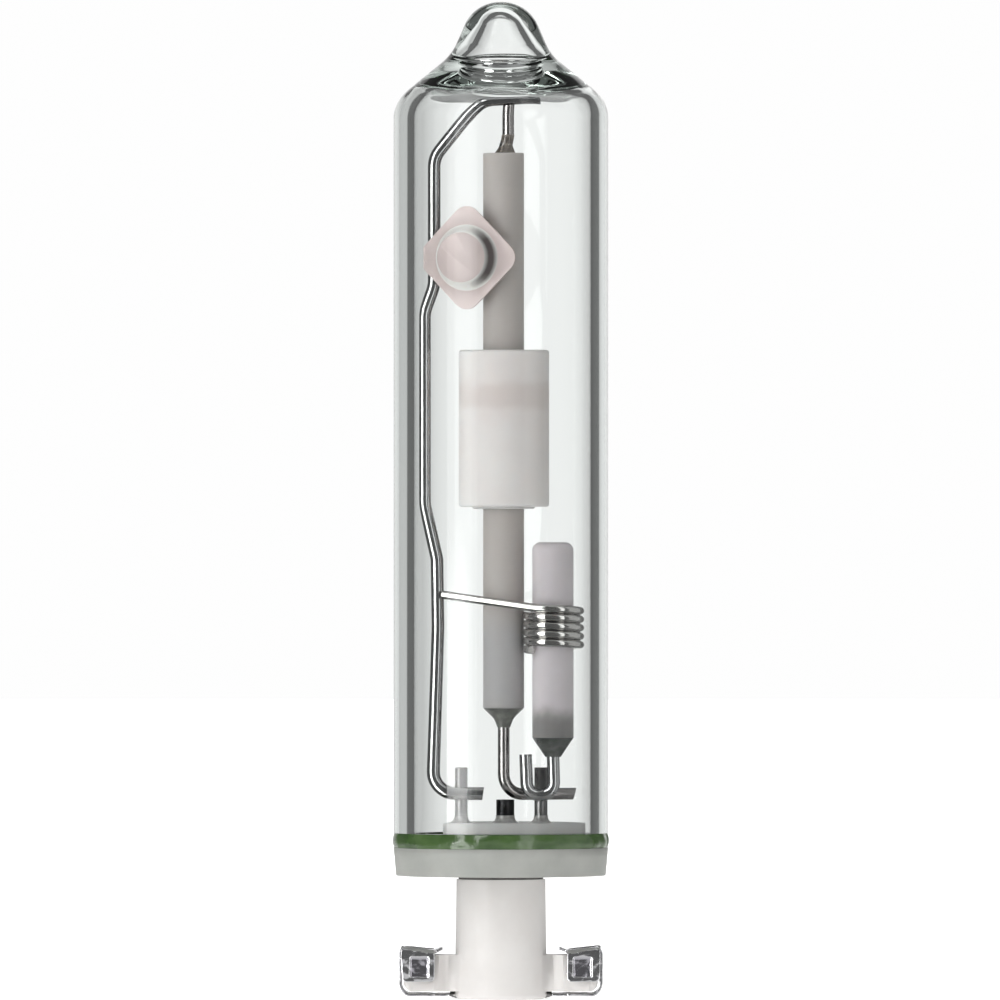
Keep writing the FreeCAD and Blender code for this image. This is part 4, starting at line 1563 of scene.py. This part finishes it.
@dataclass
class Getter:
    """Pressed sheet with a cup, and the pill of powder in it."""

    nodes: Nodes
    facing: Place = (-0.375, -0.927, 0.0)
    flank_flat: float = 0.3
    flank_steep: float = 0.8
    shade_from: float = -0.05
    shade_full: float = 0.42

    def build(self) -> None:
        """Makes the getter's pieces, keeps where the cup's flank is for a painted highlight and how far its
        right side gets painted shade, and dresses them.
        """
        plate = copied("getter_plate", self.nodes["getter_tab"])
        normals = [corner.vector.copy() for corner in plate.data.corner_normals]
        flank = [0.0] * len(normals)
        painted_dark_flank = [0.0] * len(normals)
        # The flank gets a painted highlight all round and painted shade on its right.
        for face in plate.data.polygons:
            if self.flank_flat < face.normal.dot(Vector(self.facing)) < self.flank_steep:
                for corner in face.loop_indices:
                    flank[corner] = 1.0
                    painted_dark_flank[corner] = self._flank_shade(normals[corner])
        for name, shares in (("flank", flank), ("painted_dark_flank", painted_dark_flank)):
            plate.data.attributes.new(name, "FLOAT", "CORNER").data.foreach_set("value", shares)
        seat(plate, GETTER_SHEET, "getter_tab")
        seat_copy("getter_pill_disc", self.nodes, "getter_pill", POWDER)

    def _flank_shade(self, normal: Vector) -> float:
        """Tells how far the cup's flank is darkened on its right, as painted shade.

        Args:
            normal: Normal of the flank.

        Returns:
            The share, from 0 to 1.
        """
        return min(max((normal.x - self.shade_from) / (self.shade_full - self.shade_from), 0.0), 1.0)


@dataclass
class InnerParts:
    """Pieces sealed inside the arc tube, which keep their solids."""

    nodes: Nodes

    def build(self) -> None:
        """Gives the solids their finishes."""
        finishes = {"salt_dose": SALT, "mercury_drop": MERCURY}
        for end in ("lower", "upper"):
            for part in ("electrode_rod_", "electrode_tip_", "capillary_winding_"):
                finishes[part + end] = INNER_METAL
        for node, finish in finishes.items():
            piece = self.nodes[node]
            piece.data.materials.clear()
            piece.data.materials.append(material_of(finish))
            log.info("%s keeps its solid", node)


@dataclass(frozen=True)
class Panel:
    """Bright panel of the studio, by its bearing and height seen from the lamp, in degrees."""

    left: float
    right: float
    light: float
    low: float = -38.0
    high: float = 58.0
    soft: float = 3.0


@dataclass
class Studio:
    """Pale backdrop, floor, soft panels and the camera."""

    outside: float = 0.99
    backdrop: float = 0.91
    through: float = 0.83
    through_fades: tuple[Fade, ...] = (
        Fade(5.0, 12.0, 0.74), Fade(13.0, 19.0, 0.86), Fade(19.0, 31.0, 0.86), Fade(-13.0, -31.0, 0.72))
    through_edge: float = 42.0
    through_repeat: float = 45.0
    behind_fades: tuple[Fade, ...] = (
        Fade(2.0, 18.0, 0.47), Fade(-13.0, -28.0, 0.55), Fade(-28.5, -31.5, 0.0))
    behind_edge: float = 34.0
    edge_soft: float = 4.0
    low: float = -38.0
    high: float = 24.0
    room: float = 0.13
    fill: float = 1.5
    inside: float = 0.67
    ground: float = 0.62
    ground_start: float = -3.0
    ground_soft: float = 8.0
    ceiling: float = 0.55
    ceiling_start: float = 60.0
    panels: tuple[Panel, ...] = (
        Panel(-60.0, -31.0, 4.6),
        Panel(-60.0, -36.0, 18.0, -2.4, 0.1, 1.0),
        Panel(26.0, 44.0, 1.7),
        Panel(60.0, 112.0, 0.45),
    )
    floor_reach: float = 1.5
    floor_around: int = 96
    distance: float = 1.0
    frame_width: float = 57.14 * MM
    frame_x: float = -0.05 * MM
    frame_z: float = 21.46 * MM

    def build(self) -> None:
        """Makes the studio round the lamp."""
        self._floor()
        self._world()
        self._camera()
        scene = bpy.context.scene
        scene.view_settings.view_transform = "Standard"
        scene.cycles.use_denoising = True
        scene.cycles.max_bounces = 24
        scene.cycles.transmission_bounces = 20
        scene.cycles.glossy_bounces = 8
        scene.cycles.sample_clamp_indirect = 6.0

    def _floor(self) -> None:
        """Makes the floor under the lamp."""
        bm = bmesh.new()
        bmesh.ops.create_circle(bm, cap_ends=True, radius=self.floor_reach / MM, segments=self.floor_around)
        bmesh.ops.translate(bm, vec=(0.0, 0.0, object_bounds()[0][2] / MM), verts=bm.verts)
        floor = new_piece("studio_floor", bm, Crease.CRISP)
        floor.data.materials.append(material_of(FLOOR))
        floor.visible_transmission = False
        floor.visible_glossy = False
        floor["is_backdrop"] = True

    def _world(self) -> None:
        """Makes the light round the lamp, plainer through glass than where it is reflected."""
        world = bpy.data.worlds.new("studio")
        world.use_nodes = True
        bpy.context.scene.world = world
        graph = Graph(world.node_tree)
        way = graph.add("ShaderNodeTexCoord").outputs["Generated"]
        axes = graph.add("ShaderNodeSeparateXYZ", {"Vector": way}).outputs
        bearing = graph.math("DEGREES", graph.math("ARCTAN2", axes["X"], graph.product(axes["Y"], -1.0)))
        height = graph.math("DEGREES", graph.math("ARCSINE", axes["Z"]))
        path = graph.add("ShaderNodeLightPath").outputs
        entered = graph.flag(path["Transmission Depth"])
        matt = graph.flag(path["Diffuse Depth"])
        bounced = graph.flag(graph.total(path["Glossy Depth"], path["Diffuse Depth"]))
        studio = self._reflected(graph, bearing, height, entered, matt)
        nearest = graph.math("WRAP", bearing, self.through_repeat, -self.through_repeat)
        through = self._backdrop(graph, self.through, nearest, height, self.through_fades, self.through_edge)
        light = graph.choose(graph.product(graph.rest(bounced), entered), studio, through)
        light = graph.choose(path["Is Camera Ray"], light, self.outside)
        back = graph.add("ShaderNodeBackground", {"Color": WHITE, "Strength": light})
        graph.add("ShaderNodeOutputWorld", {"Surface": back.outputs[0]})

    def _reflected(self, graph: Graph, bearing: Socket, height: Socket, entered: Socket,
                   matt: Socket) -> Socket:
        """Light that the lamp reflects: backdrop, panels, ground and ceiling.

        Args:
            graph: Tree of the world.
            bearing: Bearing of the ray.
            height: Height of the ray.
            entered: 1 where the ray has gone through glass.
            matt: 1 where it comes from a matt surface.

        Returns:
            The light's socket.
        """
        behind = graph.math("WRAP", graph.total(bearing, HALF_TURN), HALF_TURN, -HALF_TURN)
        lights = [self._backdrop(graph, self.backdrop, behind, height, self.behind_fades, self.behind_edge)]
        lights += [self._panel(graph, panel, bearing, height) for panel in self.panels]
        start, soft = self.ground_start, self.ground_soft
        ground = graph.spread(height, start - soft, start, self.ground, 0.0, True)
        lights.append(graph.product(ground, graph.rest(graph.product(entered, graph.rest(matt)))))
        start = self.ceiling_start
        lights.append(graph.spread(height, start, start + soft, 0.0, self.ceiling, True))
        fill = graph.choose(matt, 1.0, self.fill)
        enclosed = graph.choose(graph.product(entered, matt), 1.0, self.inside)
        return graph.product(graph.total(*lights), fill, enclosed)

    def _backdrop(self, graph: Graph, light: float, off: Socket, height: Socket,
                  fades: tuple[Fade, ...], edge: float) -> Socket:
        """Light of the room and its backdrop, which fades to its sides and then ends.

        Args:
            graph: Tree of the world.
            light: Light in its middle.
            off: Bearing from the middle of the backdrop, above 0 on the left.
            height: Height of the ray.
            fades: How it fades.
            edge: Bearing where it ends.

        Returns:
            The light's socket.
        """
        for fade in fades:
            light = graph.product(light, graph.spread(off, fade.start, fade.end, 1.0, fade.share))
        side = graph.window(off, -edge, edge, self.edge_soft)
        upright = graph.window(height, self.low, self.high, self.edge_soft)
        return graph.total(graph.product(light, side, upright), self.room)

    def _panel(self, graph: Graph, panel: Panel, bearing: Socket,
               height: Socket) -> Socket:
        """Light of one panel.

        Args:
            graph: Tree of the world.
            panel: The panel.
            bearing: Bearing of the ray.
            height: Height of the ray.

        Returns:
            The light's socket.
        """
        soft = panel.soft / 2
        across = graph.window(bearing, panel.left, panel.right, soft, soft)
        upright = graph.window(height, panel.low, panel.high, soft, soft)
        return graph.product(across, upright, panel.light)

    def _camera(self) -> None:
        """Sets up the camera, level and far off."""
        data = bpy.data.cameras.new("camera")
        data.sensor_width = 36.0
        data.lens = data.sensor_width * self.distance / self.frame_width
        data.clip_start = 0.05
        data.clip_end = 10.0
        camera = bpy.data.objects.new("camera", data)
        camera.location = (self.frame_x, -self.distance, self.frame_z)
        camera.rotation_euler = (math.pi / 2, 0.0, 0.0)
        bpy.context.scene.collection.objects.link(camera)
        bpy.context.scene.camera = camera


def main() -> None:
    """Builds the lamp's pieces in order and the studio round them."""
    logging.basicConfig(level=logging.INFO, format="%(name)s: %(message)s")
    noise.seed_set(SEED)
    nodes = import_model()["nodes"]
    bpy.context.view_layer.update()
    shop = WireShop()
    BlownBulb().build()
    SolderRing().build()
    CeramicBase(nodes).build()
    Stem(nodes).build()
    ArcTube(nodes).build(shop)
    SupportWire().build(shop)
    Igniter().build(shop)
    Getter(nodes).build()
    InnerParts(nodes).build()
    Studio().build()


if __name__ == "__main__":
    main()
